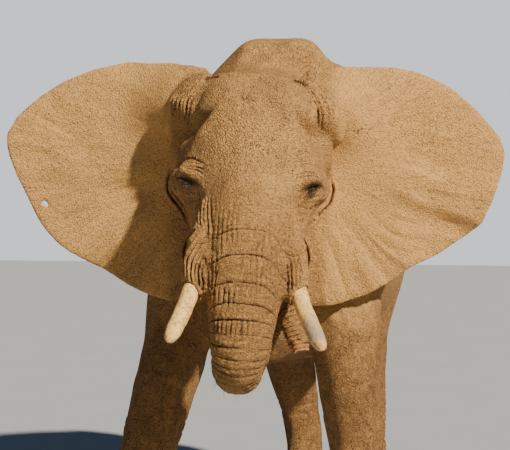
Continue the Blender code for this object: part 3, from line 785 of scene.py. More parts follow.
def hollow(across, up, row):
    """How deep a row of HOLLOWS is at each place."""
    x, z, short, long, turn, depth = row
    return depth * mound(*leaning(across - x, up - z, turn), short, long)


def root_forward(across, up):
    """How far the ear's sheet is drawn forward near its root, where it folds in behind the temple."""
    return hollow(across, up, EAR_DRAWN)


def shares(points, arrows):
    """How much each point belongs to the ears, the trunk, the face, the legs and so on, and where it is there."""
    local, turned = to_head(points), turn_to_head(arrows)
    x, y, z = local.T
    side = np.abs(x)
    found = SimpleNamespace(local=local, turned=turned)
    back = y + root_forward(side, z)
    ear = smooth_step(side, 0.37, 0.47) * smooth_step(back, 0.16, 0.24) * smooth_step(back, 0.60, 0.52)
    found.ear = ear * smooth_step(z, -0.80, -0.70)
    trunk = TrunkPlace(local)
    on_trunk = smooth_step(trunk.out, 1.42, 1.12) * smooth_step(trunk.along, 0.12, 0.62)
    found.trunk = on_trunk * (1 - found.ear)
    found.place = trunk
    front = smooth_step(-turned[:, 1], -0.15, 0.25) * smooth_step(y, 0.50, 0.42)
    found.face = front * smooth_step(z, -0.66, -0.60) * smooth_step(side, 0.62, 0.54)
    found.legs = smooth_step(points[:, 2], 1.75, 1.10) * smooth_step(y, 0.20, 0.40)
    found.pebbles = smooth_step(np.linalg.norm(local - (0, 0, 0.30), axis=1), 0.62, 0.40) * (1 - found.ear)
    return found


def trunk_creases(found, depth):
    """Rings round the trunk that droop at the sides, crowd together at the bend, and fade in and out."""
    place = found.place
    gap = off_whole(place.ring) * place.gap
    width = np.clip(place.gap * 0.18, 0.0048, 0.0062)
    strength = 0.60 + 0.40 * lumps(found.local, (4, 4, 9), 5)
    low = smooth_step(place.down, 0.70, 1.02)
    broken = 1 - low * smooth_step(lumps(found.local, (9, 9, 24), 7), 0.15, -0.45)
    main = groove(gap, width) * strength * (1 - 0.20 * low) * broken
    second = place.ring * 3 + 0.5 * lumps(found.local, (6, 6, 9), 10)
    gap = off_whole(second) * place.gap / 3
    finer = groove(gap, width * 0.8) * smooth_step(lumps(found.local, (6, 6, 15), 6), 0.0, 0.6) * (1 - low)
    return depth * found.trunk * (main + 0.32 * finer)


def trunk_grooves(found):
    """Short lengthwise wrinkles between the rings of the upper trunk."""
    place = found.place
    gap = off_whole(place.around / GROOVE_STEP + 0.40 * lumps(found.local, (5, 5, 7), 8)) * GROOVE_STEP
    upper = smooth_step(place.down, 0.10, 0.35) * smooth_step(place.down, 1.02, 0.86)
    patchy = smooth_step(lumps(found.local, (11, 11, 13), 9), -0.40, 0.25)
    stronger = 1 - 0.5 * smooth_step(place.angle, 0.4, 1.1)
    return GROOVE_DEPTH * found.trunk * upper * patchy * groove(gap, GROOVE_WIDTH) * stronger


def seams(points, scale, seed):
    """Fine creases along the lines where smooth noise crosses nought."""
    return np.exp(-((lumps(points, scale, seed) / SEAM_WIDTH) ** 2))


def wrinkles(found):
    """The hide's own creases: across and along the trunk, and every way on the face."""
    local, place, trunk = found.local, found.place, found.trunk
    bent = local + 0.02 * lumps(local, 6, 61)[:, None]
    cross = seams(bent, (8, 8, 27), 62) + 0.6 * seams(bent, (14, 14, 48), 63)
    upright = seams(bent, (27, 27, 8), 64) * (0.6 - 0.4 * np.sign(place.angle))
    face = found.face * (1 - trunk)
    total = trunk * (0.0040 * cross + 0.0038 * upright)
    total += face * (0.0016 * seams(bent, 19, 65) + 0.0012 * seams(bent, (30, 30, 44), 66))
    return total * (1 - found.ear)


def face_folds(found):
    """Fans of folds at the ear roots, round the eyes, down the cheeks and over the tusks' sheaths."""
    total = np.zeros(len(found.local))
    on_face = np.nonzero(found.face > 0.01)[0]
    local = found.local[on_face]
    sway = 0.006 * np.stack([lumps(local, 15, 11), lumps(local, 15, 12)], 1)
    sway += 0.0025 * np.stack([lumps(local, 45, 13), lumps(local, 45, 14)], 1)
    folds = np.zeros(len(local))
    for side in SIDES:
        flat = np.stack([local[:, 0] * side, local[:, 2]], 1) + sway
        for first, last, count, width, depth in FANS:
            for k in range(count):
                share = k / max(count - 1, 1)
                path = (1 - share) * np.array(first) + share * np.array(last)
                gap, along = path_distance(flat, path)
                fade = smooth_step(along, 0.0, 0.25) * smooth_step(along, 1.0, 0.75)
                folds += depth * (0.75 + 0.25 * math.sin(k * 2.4)) * groove(gap, width) * fade
    total[on_face] = folds * found.face[on_face]
    return total


def head_hollows(found):
    """The temples' hollows and ridges, and the hollows beside and under the eyes."""
    x, _, z = found.local.T
    return sum(hollow(x * side, z, row) for row in HOLLOWS for side in SIDES) * found.face


def ear_rays(found):
    """Each point's ray and reach on the ear's sheet, from the middle of its root."""
    x, _, z = found.local.T
    across, up = np.abs(x) - EAR_FAN_AT[0], z - EAR_FAN_AT[1]
    return np.arctan2(up, across), np.hypot(up, across)


def ear_waves(found, height):
    """How far the ear's sheet stands forward: folds that spread from its root, and a rippled rim."""
    spread, reach = ear_rays(found)
    low = smooth_step(spread, 0.5, -0.5)
    rays = np.stack([spread + 0.10 * lumps(found.local, 3, 20), reach, np.sign(found.local[:, 0])], 1)
    broad = lumps(rays, (3.4, 1.6, 1.0), 21) * smooth_step(reach, 0.2, 0.8)
    narrow = lumps(rays, (10.0, 2.4, 1.0), 22) * smooth_step(reach, 0.25, 0.95) * (0.35 + 0.65 * low)
    fine = lumps(rays, (30.0, 4.5, 1.0), 23) * smooth_step(reach, 0.2, 0.7) * (0.3 + 0.7 * low)
    bumps = lumps(found.local, 6.5, 24) * smooth_step(reach, 0.1, 0.4)
    return height * (1.1 * broad + 0.75 * narrow + 0.36 * fine + 0.45 * bumps)


def body_folds(points, found, height):
    """Baggy folds of the barrel, the joints' rings, and the loose hide behind."""
    head = smooth_step(found.local[:, 1], 0.75, 0.45)
    z = points[:, 2]
    upright = lumps(points, (3.0, 7.0, 1.3), 31) * smooth_step(z, 1.2, 1.5)
    level = lumps(points, (4.0, 4.0, 13.0), 32) * smooth_step(z, 1.35, 0.95)
    above_soles = smooth_step(z, 0.10, 0.25)
    gap = off_whole(z * LEG_FOLDS + 0.9 * lumps(points, (5, 5, 3), 33)) / LEG_FOLDS
    joint = smooth_step(np.abs(z - KNEE), 0.26, 0.10) + smooth_step(np.abs(z - ANKLE), 0.14, 0.05)
    rings = groove(gap, LEG_FOLD_WIDTH) * joint * smooth_step(lumps(points, 4, 34), -0.5, 0.4)
    folds = 0.8 * upright + 0.55 * level * above_soles - 0.75 * rings
    return height * ((1 - head) * (1 - found.ear)) * folds


def muddy(found):
    """Where mud has dried: on top of the forehead and by the left ear's root."""
    x, _, z = found.local.T
    spots = sum(mound(x - across, z - up, wide, high) for across, up, wide, high in MUD_SPOTS)
    return spots * smooth_step(-found.turned[:, 1], -0.2, 0.3)


def crumbs(found):
    """The dried mud's crumbs."""
    grit = np.clip(lumps(found.local, 55, 41) - 0.1, 0, 1) * np.clip(lumps(found.local, 24, 42) + 0.5, 0, 1)
    return 0.040 * grit * muddy(found)


def hollow_nostrils(found):
    """The trunk's open end: where it is pink, how far it is dished in, and how much each point is in the pit, which
    is painted near black as the nostrils' shade.
    """
    end, before = np.array(TRUNK[-1][:3]), np.array(TRUNK[-3][:3])
    ahead = (end - before) / np.linalg.norm(end - before)
    offset = found.local - end
    deep = offset @ ahead
    out = np.linalg.norm(offset - deep[:, None] * ahead, axis=1)
    share = smooth_step(out, 0.040, 0.018) * smooth_step(deep, -0.05, -0.01)
    pink = smooth_step(out, 0.085, 0.060) * smooth_step(deep - 0.55 * offset[:, 0], -0.075, -0.045)
    return pink, -0.045 * share[:, None] * ahead, share


def eye_shade(found):
    """The dark, moist skin round each eye's slit and its inner corner, with painted shade of the socket and lids
    over it.
    """
    x, _, z = found.local.T
    total = np.zeros(len(x))
    for side in SIDES:
        u, v = leaning(x * side - EYE_SHADE_AT[0], z - EYE_SHADE_AT[1], EYE_SLANT)
        total += np.exp(-((u / EYE_SHADE_LONG) ** 4) - (v / EYE_SHADE_HIGH) ** 2)
    return np.clip(total, 0, 1) * found.face


# ---- skin ----
def smooth_broadly(skin):
    """Rounds off the solids' faces, but leaves thin edges, sockets and soles as they are."""
    points = corners(skin)
    found = shares(points, normals(skin))
    _, y, z = points.T
    firm = found.ear * 0.9 + smooth_step(z, 0.07, 0.02)
    firm += smooth_step(found.place.along, 1.55, 1.75) * (found.place.out < 1.4)
    for side, name in SIDES.items():
        firm += smooth_step(eye_distance(points, side), 0.075, 0.045)
        low, high = low_high(f"tusk_{name}")
        firm += 0.85 * np.all((points > low - 0.03) & (points < high + 0.03), axis=1)
    low, high = low_high("tail")
    firm += (y > low[1] + 0.14) * (z < high[2] - 0.25)
    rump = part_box("body")[1][1]
    barrel = smooth_step(found.local[:, 1], 0.75, 1.05) * (1 - found.ear)
    barrel = barrel * smooth_step(y, rump - 0.10, rump - 0.28) * smooth_step(z, 1.05, 1.35)
    limbs = found.legs * smooth_step(z, 0.22, 0.40)
    modify(skin, "SMOOTH", factor=0.5, iterations=3)
    for name, weights, factor, rounds in (
        ("broad", 1 - firm, 0.5, 55), ("barrel", barrel, 0.9, 240), ("limbs", limbs, 0.7, 60),
    ):
        group(skin, name, weights)
        modify(skin, "SMOOTH", factor=factor, iterations=rounds, vertex_group=name)
    skin.vertex_groups.clear()


def halve_grid(skin):
    """Halves the grid on the face and the trunk, where the folds are fine."""
    found = shares(corners(skin), normals(skin))
    wanted = (found.face > 0.3) & (np.abs(found.local[:, 0]) < 0.56)
    wanted |= found.trunk > 0.2
    select(skin)
    bpy.ops.object.mode_set(mode="EDIT")
    bpy.ops.mesh.select_mode(type="VERT")
    bpy.ops.mesh.select_all(action="DESELECT")
    bpy.ops.object.mode_set(mode="OBJECT")
    skin.data.vertices.foreach_set("select", wanted)
    bpy.ops.object.mode_set(mode="EDIT")
    bpy.ops.mesh.select_mode(type="VERT")
    bpy.ops.mesh.subdivide(number_cuts=1)
    bpy.ops.object.mode_set(mode="OBJECT")
    modify(skin, "SMOOTH", factor=0.5, iterations=2)


def sculpt(skin, sizes):
    """Cuts the creases and folds into the skin, waves the ears and flattens the soles."""
    points, arrows = corners(skin), normals(skin)
    found = shares(points, arrows)
    inward = trunk_creases(found, sizes.crease) + trunk_grooves(found) + head_hollows(found) + wrinkles(found)
    outward = body_folds(points, found, sizes.sag) + crumbs(found) - inward - sizes.lap * 0.5
    outward = outward * (1 - 0.8 * found.ear) - face_folds(found)
    moved = points + arrows * outward[:, None]
    waves = ear_waves(found, sizes.ear_fold) * found.ear
    moved += from_head(np.stack([0 * waves, waves, 0 * waves], 1))
    moved += from_head(hollow_nostrils(found)[1])
    moved[:, 2] = np.where(points[:, 2] < 0.012, 0.0, np.maximum(moved[:, 2], 0.0))
    move_to(skin, moved)
    return found


def note_features(skin):
    """Stores what the finish reads: folds, darkened as dirt and painted shade, ears, trunk, legs, the painted shade
    round the eyes, and the nostrils.
    """
    found = shares(corners(skin), normals(skin))
    place = found.place
    lengthwise = trunk_grooves(found) / DARK_GROOVE + 0.25 * found.trunk * wrinkles(found) / DARK_WRINKLE
    pink, _, pit = hollow_nostrils(found)
    ray, reach = ear_rays(found)
    for name, values in {
        # the folds' darkness: partly dirt, partly painted shade, near black in the deepest gaps as painted shadow
        "fold": np.clip(trunk_creases(found, 0.9) + face_folds(found) / DARK_FOLD + lengthwise, 0, 1),
        "ear": found.ear,
        "trunk": found.trunk,
        "ring": place.ring,
        "gap": place.gap,
        "down": place.down,
        "around": place.around,
        "legs": found.legs,
        "orbit": eye_shade(found),
        "nostril": pink,
        "pit": pit,
        "grainy": found.pebbles,
        "mud": muddy(found),
        "ray": ray + 3 * (found.local[:, 0] > 0),
        "reach": reach,
    }.items():
        keep(skin, name, values)


def facing(side, aim):
    """A direction from the left of the head, or its mirror image on the right."""
    return HEAD_AXES @ Vector((aim[0] * side, aim[1], aim[2])).normalized()


def eye_frame(side):
    """An eye's own directions: straight out, forward along its slit, and up across it."""
    gaze = facing(side, SLIT_AIM)
    level = (HEAD_AXES @ Vector((-0.60 * side, -0.80, 0))).normalized()
    level = (level - level.dot(gaze) * gaze).normalized()
    over = gaze.cross(level)
    over = over if over.z > 0 else -over
    slant = math.radians(-EYE_SLANT)
    return gaze, level * math.cos(slant) + over * math.sin(slant), over * math.cos(slant) - level * math.sin(slant)


def out_of_eye(side, turn, tilt):
    """Directions out of an eye, turned forward along its slit and tilted up across it."""
    gaze, forward, above = map(np.array, eye_frame(side))
    flat = np.outer(np.cos(tilt) * np.cos(turn), gaze) + np.outer(np.cos(tilt) * np.sin(turn), forward)
    return flat + np.outer(np.sin(tilt), above)


def new_sheet(faces_across, faces_up):
    """A flat sheet, and each point's place across it, from -1 to 1, and up it, from 0 to 1."""
    deselect()
    bpy.ops.mesh.primitive_grid_add(x_subdivisions=faces_across, y_subdivisions=faces_up, size=2)
    made = bpy.context.active_object
    across, up = corners(made)[:, :2].T
    return made, across, (up + 1) / 2


def lid(side, shape):
    """An eyelid: a fold of skin on the eyeball, thick at its edge, with its outer part lost in the socket."""
    made, across, up = new_sheet(44, 14)
    margin, edge, swell = shape
    margin = math.radians(margin) * np.cos(across * math.pi / 2) ** 0.8
    tilt = margin + (math.radians(edge) - margin) * up
    radius = EYE_RADIUS * (1.10 + 0.10 * np.exp(-((up / 0.10) ** 2)) + swell * up**1.3)
    radius *= 1 + 0.05 * np.sin(up * 19) * up * (1 - up) * 2
    move_to(made, np.array(EYE_AT[side]) + out_of_eye(side, across * SLIT_HALF, tilt) * radius[:, None])
    modify(made, "SOLIDIFY", thickness=0.0045, offset=0.0)
    with edit_mode(made):
        bpy.ops.mesh.normals_make_consistent(inside=False)
    return made


def draw_forward(ear):
    """Bends an ear's sheet forward near its root."""
    with edit_mode(ear):
        bpy.ops.mesh.subdivide(number_cuts=2)
    local = to_head(corners(ear))
    local[:, 1] -= root_forward(np.abs(local[:, 0]), local[:, 2])
    move_in_head(ear, local)


def ear_root(side, x, y, z, across, deep, along, lean, tilt):
    """A stack of flesh that joins the ear's root to the temple; the fan of folds is cut into the upper one."""
    deselect()
    bpy.ops.mesh.primitive_uv_sphere_add(segments=40, ring_count=20, radius=1)
    made = bpy.context.active_object
    ball = corners(made)
    low = smooth_step(ball[:, 2], 0.0, -1.0)
    wide, high = ball[:, 0] * across * (1 - 0.3 * low), ball[:, 2] * along
    u, v = leaning(wide, high, -lean)
    back = y + deep * ball[:, 1] + tilt * wide + 1.3 * across * low
    move_in_head(made, np.stack([(x + u) * side, back, z + v], 1))
    with edit_mode(made):
        bpy.ops.mesh.normals_make_consistent(inside=False)
    return made


def tusk_lip(side):
    """The lip of a tusk's sheath: a sleeve of skin whose edge slants down towards the trunk."""
    made, across, up = new_sheet(48, 14)
    turn = across * math.pi
    root, after = (Vector((x * side, y, z)) for x, y, z in TUSK_ROOT[side])
    ahead = (after - root).normalized()
    inner = Vector((-side, 0, 0))
    inner = (inner - inner.dot(ahead) * ahead).normalized()
    other = ahead.cross(inner)
    edge = LIP_AT + LIP_SLANT * np.cos(turn)
    along = LIP_FROM + (edge - LIP_FROM) * up
    radius = LIP_RADIUS + 0.026 * smooth_step(edge - along, 0.01, 0.11)
    ring = np.outer(np.cos(turn) * radius, inner) + np.outer(np.sin(turn) * radius, other)
    move_in_head(made, np.array(root) + np.outer(along, ahead) + ring)
    with edit_mode(made):
        bpy.ops.mesh.remove_doubles(threshold=0.0001)
        bpy.ops.mesh.normals_make_consistent(inside=False)
    modify(made, "SOLIDIFY", thickness=LIP_THICK, offset=0.0)
    return made


def make_skin(sizes, colours):
    """Joins all the flesh to one skin, sculpts it, thins it out and sets the lids on it."""
    added = [tusk_lip(side) for side in SIDES] + [ear_root(side, *root) for side in SIDES for root in EAR_ROOTS]
    flesh = {node: copy_node(node, f"flesh_{node}") for node in FLESH}
    for name in SIDES.values():
        draw_forward(flesh[f"ear_{name}"])
    skin = joined("skin", [*flesh.values(), *added])
    modify(skin, "DISPLACE", strength=sizes.lap, mid_level=0.0)
    modify(skin, "REMESH", mode="VOXEL", voxel_size=sizes.grain)
    smooth_broadly(skin)
    halve_grid(skin)
    found = sculpt(skin, sizes)
    # the plain hide is thinned out more than the trunk, the face and the ears
    fine = np.clip(found.trunk + found.face + found.ear * 0.4, 0, 1)
    group(skin, "plain", 1 - 0.8 * fine)
    skin.data.calc_loop_triangles()
    share = sizes.faces / len(skin.data.loop_triangles)
    modify(skin, "DECIMATE", ratio=share, vertex_group="plain", vertex_group_factor=0.0004)
    skin.vertex_groups.clear()
    lids = [lid(side, shape) for side in SIDES for shape in (UPPER_LID, LOWER_LID)]
    skin = joined("skin", [skin, *lids])
    note_features(skin)
    finish_piece(skin, skin_finish(colours), FLESH)


# ---- eyes, ivory, nails ----
def make_eyes(colours):
    """Eyeballs with a slight bulge over the pupil."""
    finish = eye_finish(colours)
    for side, name in SIDES.items():
        deselect()
        bpy.ops.mesh.primitive_uv_sphere_add(segments=48, ring_count=24, radius=EYE_RADIUS, location=EYE_AT[side])
        eye = bpy.context.active_object
        bpy.ops.object.transform_apply(location=True, rotation=True, scale=True)
        eye.name = eye.data.name = f"eyeball_{name}"
        offset = corners(eye) - np.array(EYE_AT[side])
        ahead = offset @ np.array(facing(side, PUPIL_AIM)) / EYE_RADIUS
        out = np.sqrt(np.clip(1 - ahead**2, 0, 1)) + (ahead < 0)
        bulge = 1 + 0.07 * smooth_step(out, 0.75, 0.2)
        move_to(eye, np.array(EYE_AT[side]) + offset * bulge[:, None])
        keep(eye, "from_pupil", out)
        finish_piece(eye, finish, [f"eye_{name}"])


def make_tusks(colours):
    """Rounds off the tusks, with faint ridges along them and chips at the tip."""
    finish = ivory_finish(colours)
    for side, name in SIDES.items():
        tusk = copy_node(f"tusk_{name}", f"ivory_{name}")
        with edit_mode(tusk):
            bpy.ops.mesh.tris_convert_to_quads(face_threshold=math.radians(60), shape_threshold=math.radians(60))
        modify(tusk, "SUBSURF", levels=3, render_levels=3)
        points, arrows = corners(tusk), normals(tusk)
        local = to_head(points)
        along = (local[:, 1].max() - local[:, 1]) / np.ptp(local[:, 1])
        ridges = 0.0016 * lumps(local, (60, 9, 60), 51) + 0.0028 * lumps(local, 14, 52)
        ridges *= smooth_step(along, 0.0, 0.1)
        chips = 0.006 * np.clip(lumps(local, 30, 53) - 0.1, 0, 1) * smooth_step(along, 0.90, 0.97)
        slim = 0.0042 * smooth_step(along, 1.0, 0.7)
        move_to(tusk, points + arrows * (0.0010 + ridges - chips - slim)[:, None])
        keep(tusk, "along", along)
        keep(tusk, "left", np.full(len(points), float(side == LEFT)))
        finish_piece(tusk, finish, [f"tusk_{name}"])


def make_nails(colours):
    """Rounds and squares each foot's nails and joins them to one piece."""
    finish = nail_finish(colours)
    for foot, count in NAILS.items():
        nodes = [f"nail_{foot}_{k + 1}" for k in range(count)]
        made = []
        for node in nodes:
            nail = copy_node(node, node)
            modify(nail, "SUBSURF", levels=2, render_levels=2)
            centre = np.array(middle(node))
            offset = corners(nail) - centre
            up = offset[:, 2]
            offset[:, 2] = np.sign(up) * np.abs(up / NAIL_HALF) ** NAIL_SQUARE * NAIL_HALF
            points = centre + offset * NAIL_SWELL
            points[:, 2] = np.maximum(points[:, 2], NAIL_GAP)
            move_to(nail, points)
            made.append(nail)
        nails = joined(f"nails_{foot}", made)
        finish_piece(nails, finish, nodes)


# ---- hair ----
def strand_shape(rings):
    """One hair of unit length and thickness along +Z, as points and faces, modelled once for all the hairs."""
    deselect()
    bpy.ops.mesh.primitive_cylinder_add(vertices=HAIR_SIDES, radius=1, depth=1, end_fill_type="TRIFAN")
    hair = bpy.context.active_object
    bpy.ops.object.mode_set(mode="EDIT")
    for k in range(1, rings):
        bpy.ops.mesh.select_all(action="SELECT")
        bpy.ops.mesh.bisect(plane_co=(0, 0, -0.5 + k / rings), plane_no=(0, 0, 1))
    bpy.ops.object.mode_set(mode="OBJECT")
    points = corners(hair)
    points[:, 2] += 0.5
    faces = [list(face.vertices) for face in hair.data.polygons]
    bpy.data.objects.remove(hair)
    return points, faces


def plant(name, hairs, rings, patches):
    """Copies the hair along each hair's smooth path. A hair is a path and a thickness; a patch is its place on the
    piece's map."""
    shape, faces = strand_shape(rings)
    all_points, all_faces, all_spots = [], [], []
    for (path, thick), patch in zip(hairs, patches):
        line = smooth_rows(path, 4)
        at = shape[:, 2] * (len(line) - 1)
        centre = np.stack([np.interp(at, range(len(line)), line[:, k]) for k in range(3)], 1)
        ahead = Vector(line[-1] - line[0]).normalized()
        side = ahead.orthogonal().normalized()
        other = ahead.cross(side)
        taper = thick * (1 - 0.85 * shape[:, 2] ** 1.6)
        ring = np.outer(shape[:, 0] * taper, side) + np.outer(shape[:, 1] * taper, other)
        base = len(all_points) * len(shape)
        all_points.append(centre + ring)
        all_faces += [[base + v for v in face] for face in faces]
        all_spots.append(np.array(patch) + 0.0015 * shape[:, :2])
    mesh = bpy.data.meshes.new(name)
    mesh.from_pydata(np.concatenate(all_points), [], all_faces)
    made = new_object(name, mesh)
    spots = np.concatenate(all_spots)
    layer = mesh.uv_layers.new(name="OFBake")
    loops = np.empty(len(mesh.loops), np.int32)
    mesh.loops.foreach_get("vertex_index", loops)
    layer.data.foreach_set("uv", np.ascontiguousarray(spots[loops], np.float32).ravel())
    return made


def make_tuft(sizes):
    """Wiry hair along the front and back edges of the tail's end."""
    rng = np.random.default_rng(7)
    low, high = low_high("tail_tuft")
    hairs, patches = [], []
    for _ in range(TUFT_HAIRS):
        share = rng.random() ** 0.8
        turn = rng.random() * 2 * math.pi
        top = high[2] - 0.02 - share * 0.17
        core = np.array([*((low + high) / 2)[:2], top])
        core[0] += -0.006 + 0.012 * share
        ring = np.array([math.cos(turn) * 0.020, math.sin(turn) * 0.016, 0])
        length = sizes.tuft * (0.55 + 0.5 * rng.random())
        end_z = max(top - length, low[2] + 0.005)
        sway = np.array([rng.normal(0, 0.012), rng.normal(0, 0.008), 0])
        spread = ring * (1.15 + 0.55 * rng.random())
        end = core + spread + sway
        end[2] = end_z
        mid = core + spread * 1.15 + sway * 0.3
        mid[2] = (top + end_z) / 2
        hairs.append(([core + ring * 0.75, mid, end], 0.0011 + 0.0007 * rng.random()))
        patches.append((0.1 + 0.8 * turn / (2 * math.pi), 0.1 + 0.8 * share))
    tuft = plant("tail_hair", hairs, 5, patches)
    finish_piece(tuft, hair_finish(sizes), ["tail_tuft"])


def make_lashes(sizes):
    """Long, drooping lashes on the upper lids."""
    rng = np.random.default_rng(11)
    hairs, patches = [], []
    for side in SIDES:
        forward = eye_frame(side)[1]
        for k in range(LASHES_EACH):
            across = -0.9 + 1.8 * k / (LASHES_EACH - 1) + rng.normal(0, 0.015)
            tilt = math.radians(26) * max(math.cos(across * math.pi / 2), 0) ** 0.8
            out = Vector(out_of_eye(side, across * SLIT_HALF, tilt)[0])
            root = EYE_AT[side] + out * EYE_RADIUS * 1.15
            length = sizes.lash * (0.6 + 0.4 * rng.random())
            mid = root + (out * 0.75 + DOWN * 0.35).normalized() * length * 0.5
            end = mid + (out * 0.35 + DOWN * 0.9 + forward * rng.normal(0, 0.1)).normalized() * length * 0.5
            hairs.append(([np.array(root), np.array(mid), np.array(end)], LASH_THICK))
            patches.append((0.3 + 0.4 * (side == LEFT) + 0.08 * across, 0.5 + 0.1 * rng.random()))
    lashes = plant("lashes", hairs, 4, patches)
    finish_piece(lashes, hair_finish(sizes))


def make_bristles(sizes):
    """Sparse bristles on the brow, the trunk and the chin."""
    rng = np.random.default_rng(5)
    skin = bpy.data.objects["skin"]
    points, arrows = corners(skin), normals(skin)
    found = shares(points, arrows)
    share = found.face * 0.3 + found.pebbles + found.trunk * 0.8
    chin = sum(low_high("lower_jaw")) / 2
    share += 2.5 * (np.linalg.norm(points - chin, axis=1) < 0.22)
    share *= 1 - found.ear
    for side in SIDES:
        share *= eye_distance(points, side) > 0.07
    picks = rng.choice(len(points), BRISTLES, replace=False, p=share / share.sum())
    hairs, patches = [], []
    low, high = map(np.array, CAD_BOX)
    for pick in picks:
        root, out = points[pick], arrows[pick]
        length = sizes.bristle * (0.35 + 0.65 * rng.random())
        lean = out + np.array([0, 0, -0.35]) + rng.normal(0, 0.2, 3)
        lean /= np.linalg.norm(lean)
        end = root + (lean + np.array([0, 0, -0.25])) * length
        hairs.append(([root - out * 0.002, root + lean * length * 0.5, end], BRISTLE_THICK))
        patch = (root - low) / (high - low)
        patches.append((0.05 + 0.9 * patch[1], 0.05 + 0.9 * patch[2]))
    bristles = plant("bristles", hairs, 2, patches)
    finish_piece(bristles, hair_finish(sizes))


# ---- stage ----
CAMERA_AWAY = 10.0
CAMERA_HEIGHT = 2.23
CAMERA_ASIDE = 0.026
CAMERA_DOWN = math.radians(1.9)
CAMERA_LENS = 134.5
CAMERA_SENSOR = 36
CAMERA_REACH = 200


def add_light(name, azimuth, elevation, energy, size, colour):
    """A distant lamp, aimed at the head. The azimuth counts from where the head faces, to the camera's right."""
    turn = HEAD_TURN + math.radians(azimuth)
    lift = math.radians(elevation)
    away = Vector((math.sin(turn) * math.cos(lift), -math.cos(turn) * math.cos(lift), math.sin(lift)))
    data = bpy.data.lights.new(name, "SUN")
    data.energy, data.angle, data.color = energy, math.radians(size), colour
    lamp = new_object(name, data)
    lamp.location = HEAD_AT + away * 9
    lamp.rotation_euler = away.to_track_quat("Z", "Y").to_euler()


def set_backdrop():
    """A plain pale backdrop, whose light on the model is fainter and bluer than the backdrop looks."""
    world = bpy.data.worlds.new("studio")
    world.use_nodes = True
    tree = world.node_tree
    light, seen = tree.nodes["Background"], tree.nodes.new("ShaderNodeBackground")
    for background, colour, strength in ((light, SKY_LIGHT, 0.12), (seen, BACKDROP, 1.1)):
        background.inputs["Color"].default_value = colour
        background.inputs["Strength"].default_value = strength
    path = tree.nodes.new("ShaderNodeLightPath")
    either = tree.nodes.new("ShaderNodeMixShader")
    for source, target in (
        (path.outputs["Is Camera Ray"], either.inputs[0]),
        (light.outputs[0], either.inputs[1]),
        (seen.outputs[0], either.inputs[2]),
        (either.outputs[0], tree.nodes["World Output"].inputs["Surface"]),
    ):
        tree.links.new(source, target)
    bpy.context.scene.world = world


def set_camera():
    data = bpy.data.cameras.new("camera")
    data.lens, data.sensor_width, data.clip_end = CAMERA_LENS, CAMERA_SENSOR, CAMERA_REACH
    camera = new_object("camera", data)
    ahead = Vector((-math.sin(HEAD_TURN), math.cos(HEAD_TURN), 0))
    right = Vector((math.cos(HEAD_TURN), math.sin(HEAD_TURN), 0))
    camera.location = HEAD_AT - ahead * CAMERA_AWAY + right * CAMERA_ASIDE
    camera.location.z = CAMERA_HEIGHT
    aim = ahead + DOWN * math.tan(CAMERA_DOWN)
    camera.rotation_euler = aim.to_track_quat("-Z", "Y").to_euler()
    bpy.context.scene.camera = camera


def set_stage():
    deselect()
    bpy.ops.mesh.primitive_plane_add(size=60)
    floor = bpy.context.active_object
    floor.name = "floor"
    floor.data.materials.append(floor_finish())
    add_light("key", azimuth=37, elevation=37, energy=7.2, size=2.5, colour=(1.0, 0.92, 0.78))
    add_light("fill", azimuth=-15, elevation=25, energy=0.05, size=60, colour=(0.75, 0.88, 1.0))
    set_backdrop()
    set_camera()


class ELEPHANT_OT_skin(bpy.types.Operator):
    """Lay one skin over all the flesh, with its folds and eyelids"""

    bl_idname = "elephant.skin"
    bl_label = "Skin"

    def execute(self, context):
        make_skin(context.scene.elephant_skin, context.scene.elephant_colours)
        return {"FINISHED"}


class ELEPHANT_OT_eyes(bpy.types.Operator):
    """Set the eyeballs"""

    bl_idname = "elephant.eyes"
    bl_label = "Eyes"

    def execute(self, context):
        make_eyes(context.scene.elephant_hard)
        return {"FINISHED"}


class ELEPHANT_OT_tusks(bpy.types.Operator):
    """Carve the tusks"""

    bl_idname = "elephant.tusks"
    bl_label = "Tusks"

    def execute(self, context):
        make_tusks(context.scene.elephant_hard)
        return {"FINISHED"}


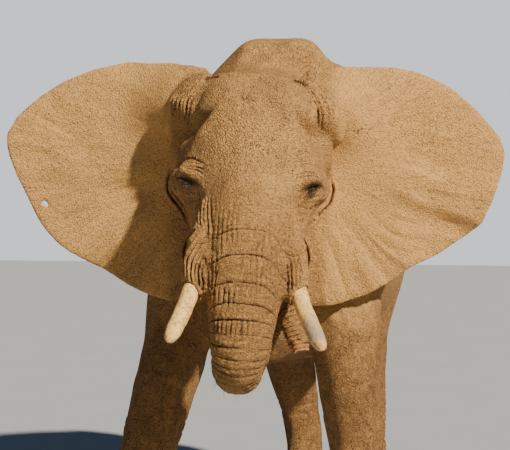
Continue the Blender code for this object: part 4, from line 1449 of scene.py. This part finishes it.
class ELEPHANT_OT_nails(bpy.types.Operator):
    """Shape the toenails"""

    bl_idname = "elephant.nails"
    bl_label = "Toenails"

    def execute(self, context):
        make_nails(context.scene.elephant_hard)
        return {"FINISHED"}


class ELEPHANT_OT_hair(bpy.types.Operator):
    """Plant the tail's tuft, the lashes and the bristles"""

    bl_idname = "elephant.hair"
    bl_label = "Hair"

    def execute(self, context):
        sizes = context.scene.elephant_hair
        make_tuft(sizes)
        make_lashes(sizes)
        make_bristles(sizes)
        return {"FINISHED"}


class ELEPHANT_OT_stage(bpy.types.Operator):
    """Set the floor, the lights and the camera"""

    bl_idname = "elephant.stage"
    bl_label = "Stage"

    def execute(self, context):
        set_stage()
        return {"FINISHED"}


class ELEPHANT_PT_panel(bpy.types.Panel):
    """Lists the elephant's pieces"""

    bl_label = "Elephant"
    bl_idname = "ELEPHANT_PT_panel"
    bl_space_type = "VIEW_3D"
    bl_region_type = "UI"
    bl_category = "Elephant"

    def draw(self, context):
        for step in OPERATORS:
            self.layout.operator(step.bl_idname)
        for group_name in SETTINGS:
            settings = getattr(context.scene, group_name)
            for name in settings.__annotations__:
                self.layout.prop(settings, name)


OPERATORS = (
    ELEPHANT_OT_skin, ELEPHANT_OT_eyes, ELEPHANT_OT_tusks, ELEPHANT_OT_nails, ELEPHANT_OT_hair, ELEPHANT_OT_stage,
)
SETTINGS = {
    "elephant_skin": SkinSizes,
    "elephant_colours": SkinColours,
    "elephant_hard": HardColours,
    "elephant_hair": HairSizes,
}


def register():
    for made in (*SETTINGS.values(), *OPERATORS, ELEPHANT_PT_panel):
        bpy.utils.register_class(made)
    for name, settings in SETTINGS.items():
        setattr(bpy.types.Scene, name, PointerProperty(type=settings))


def unregister():
    for name in SETTINGS:
        delattr(bpy.types.Scene, name)
    for made in reversed((*SETTINGS.values(), *OPERATORS, ELEPHANT_PT_panel)):
        bpy.utils.unregister_class(made)


def main():
    register()
    for step in OPERATORS:
        getattr(bpy.ops.elephant, step.bl_idname.split(".")[1])()
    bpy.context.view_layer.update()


if __name__ == "__main__":
    main()
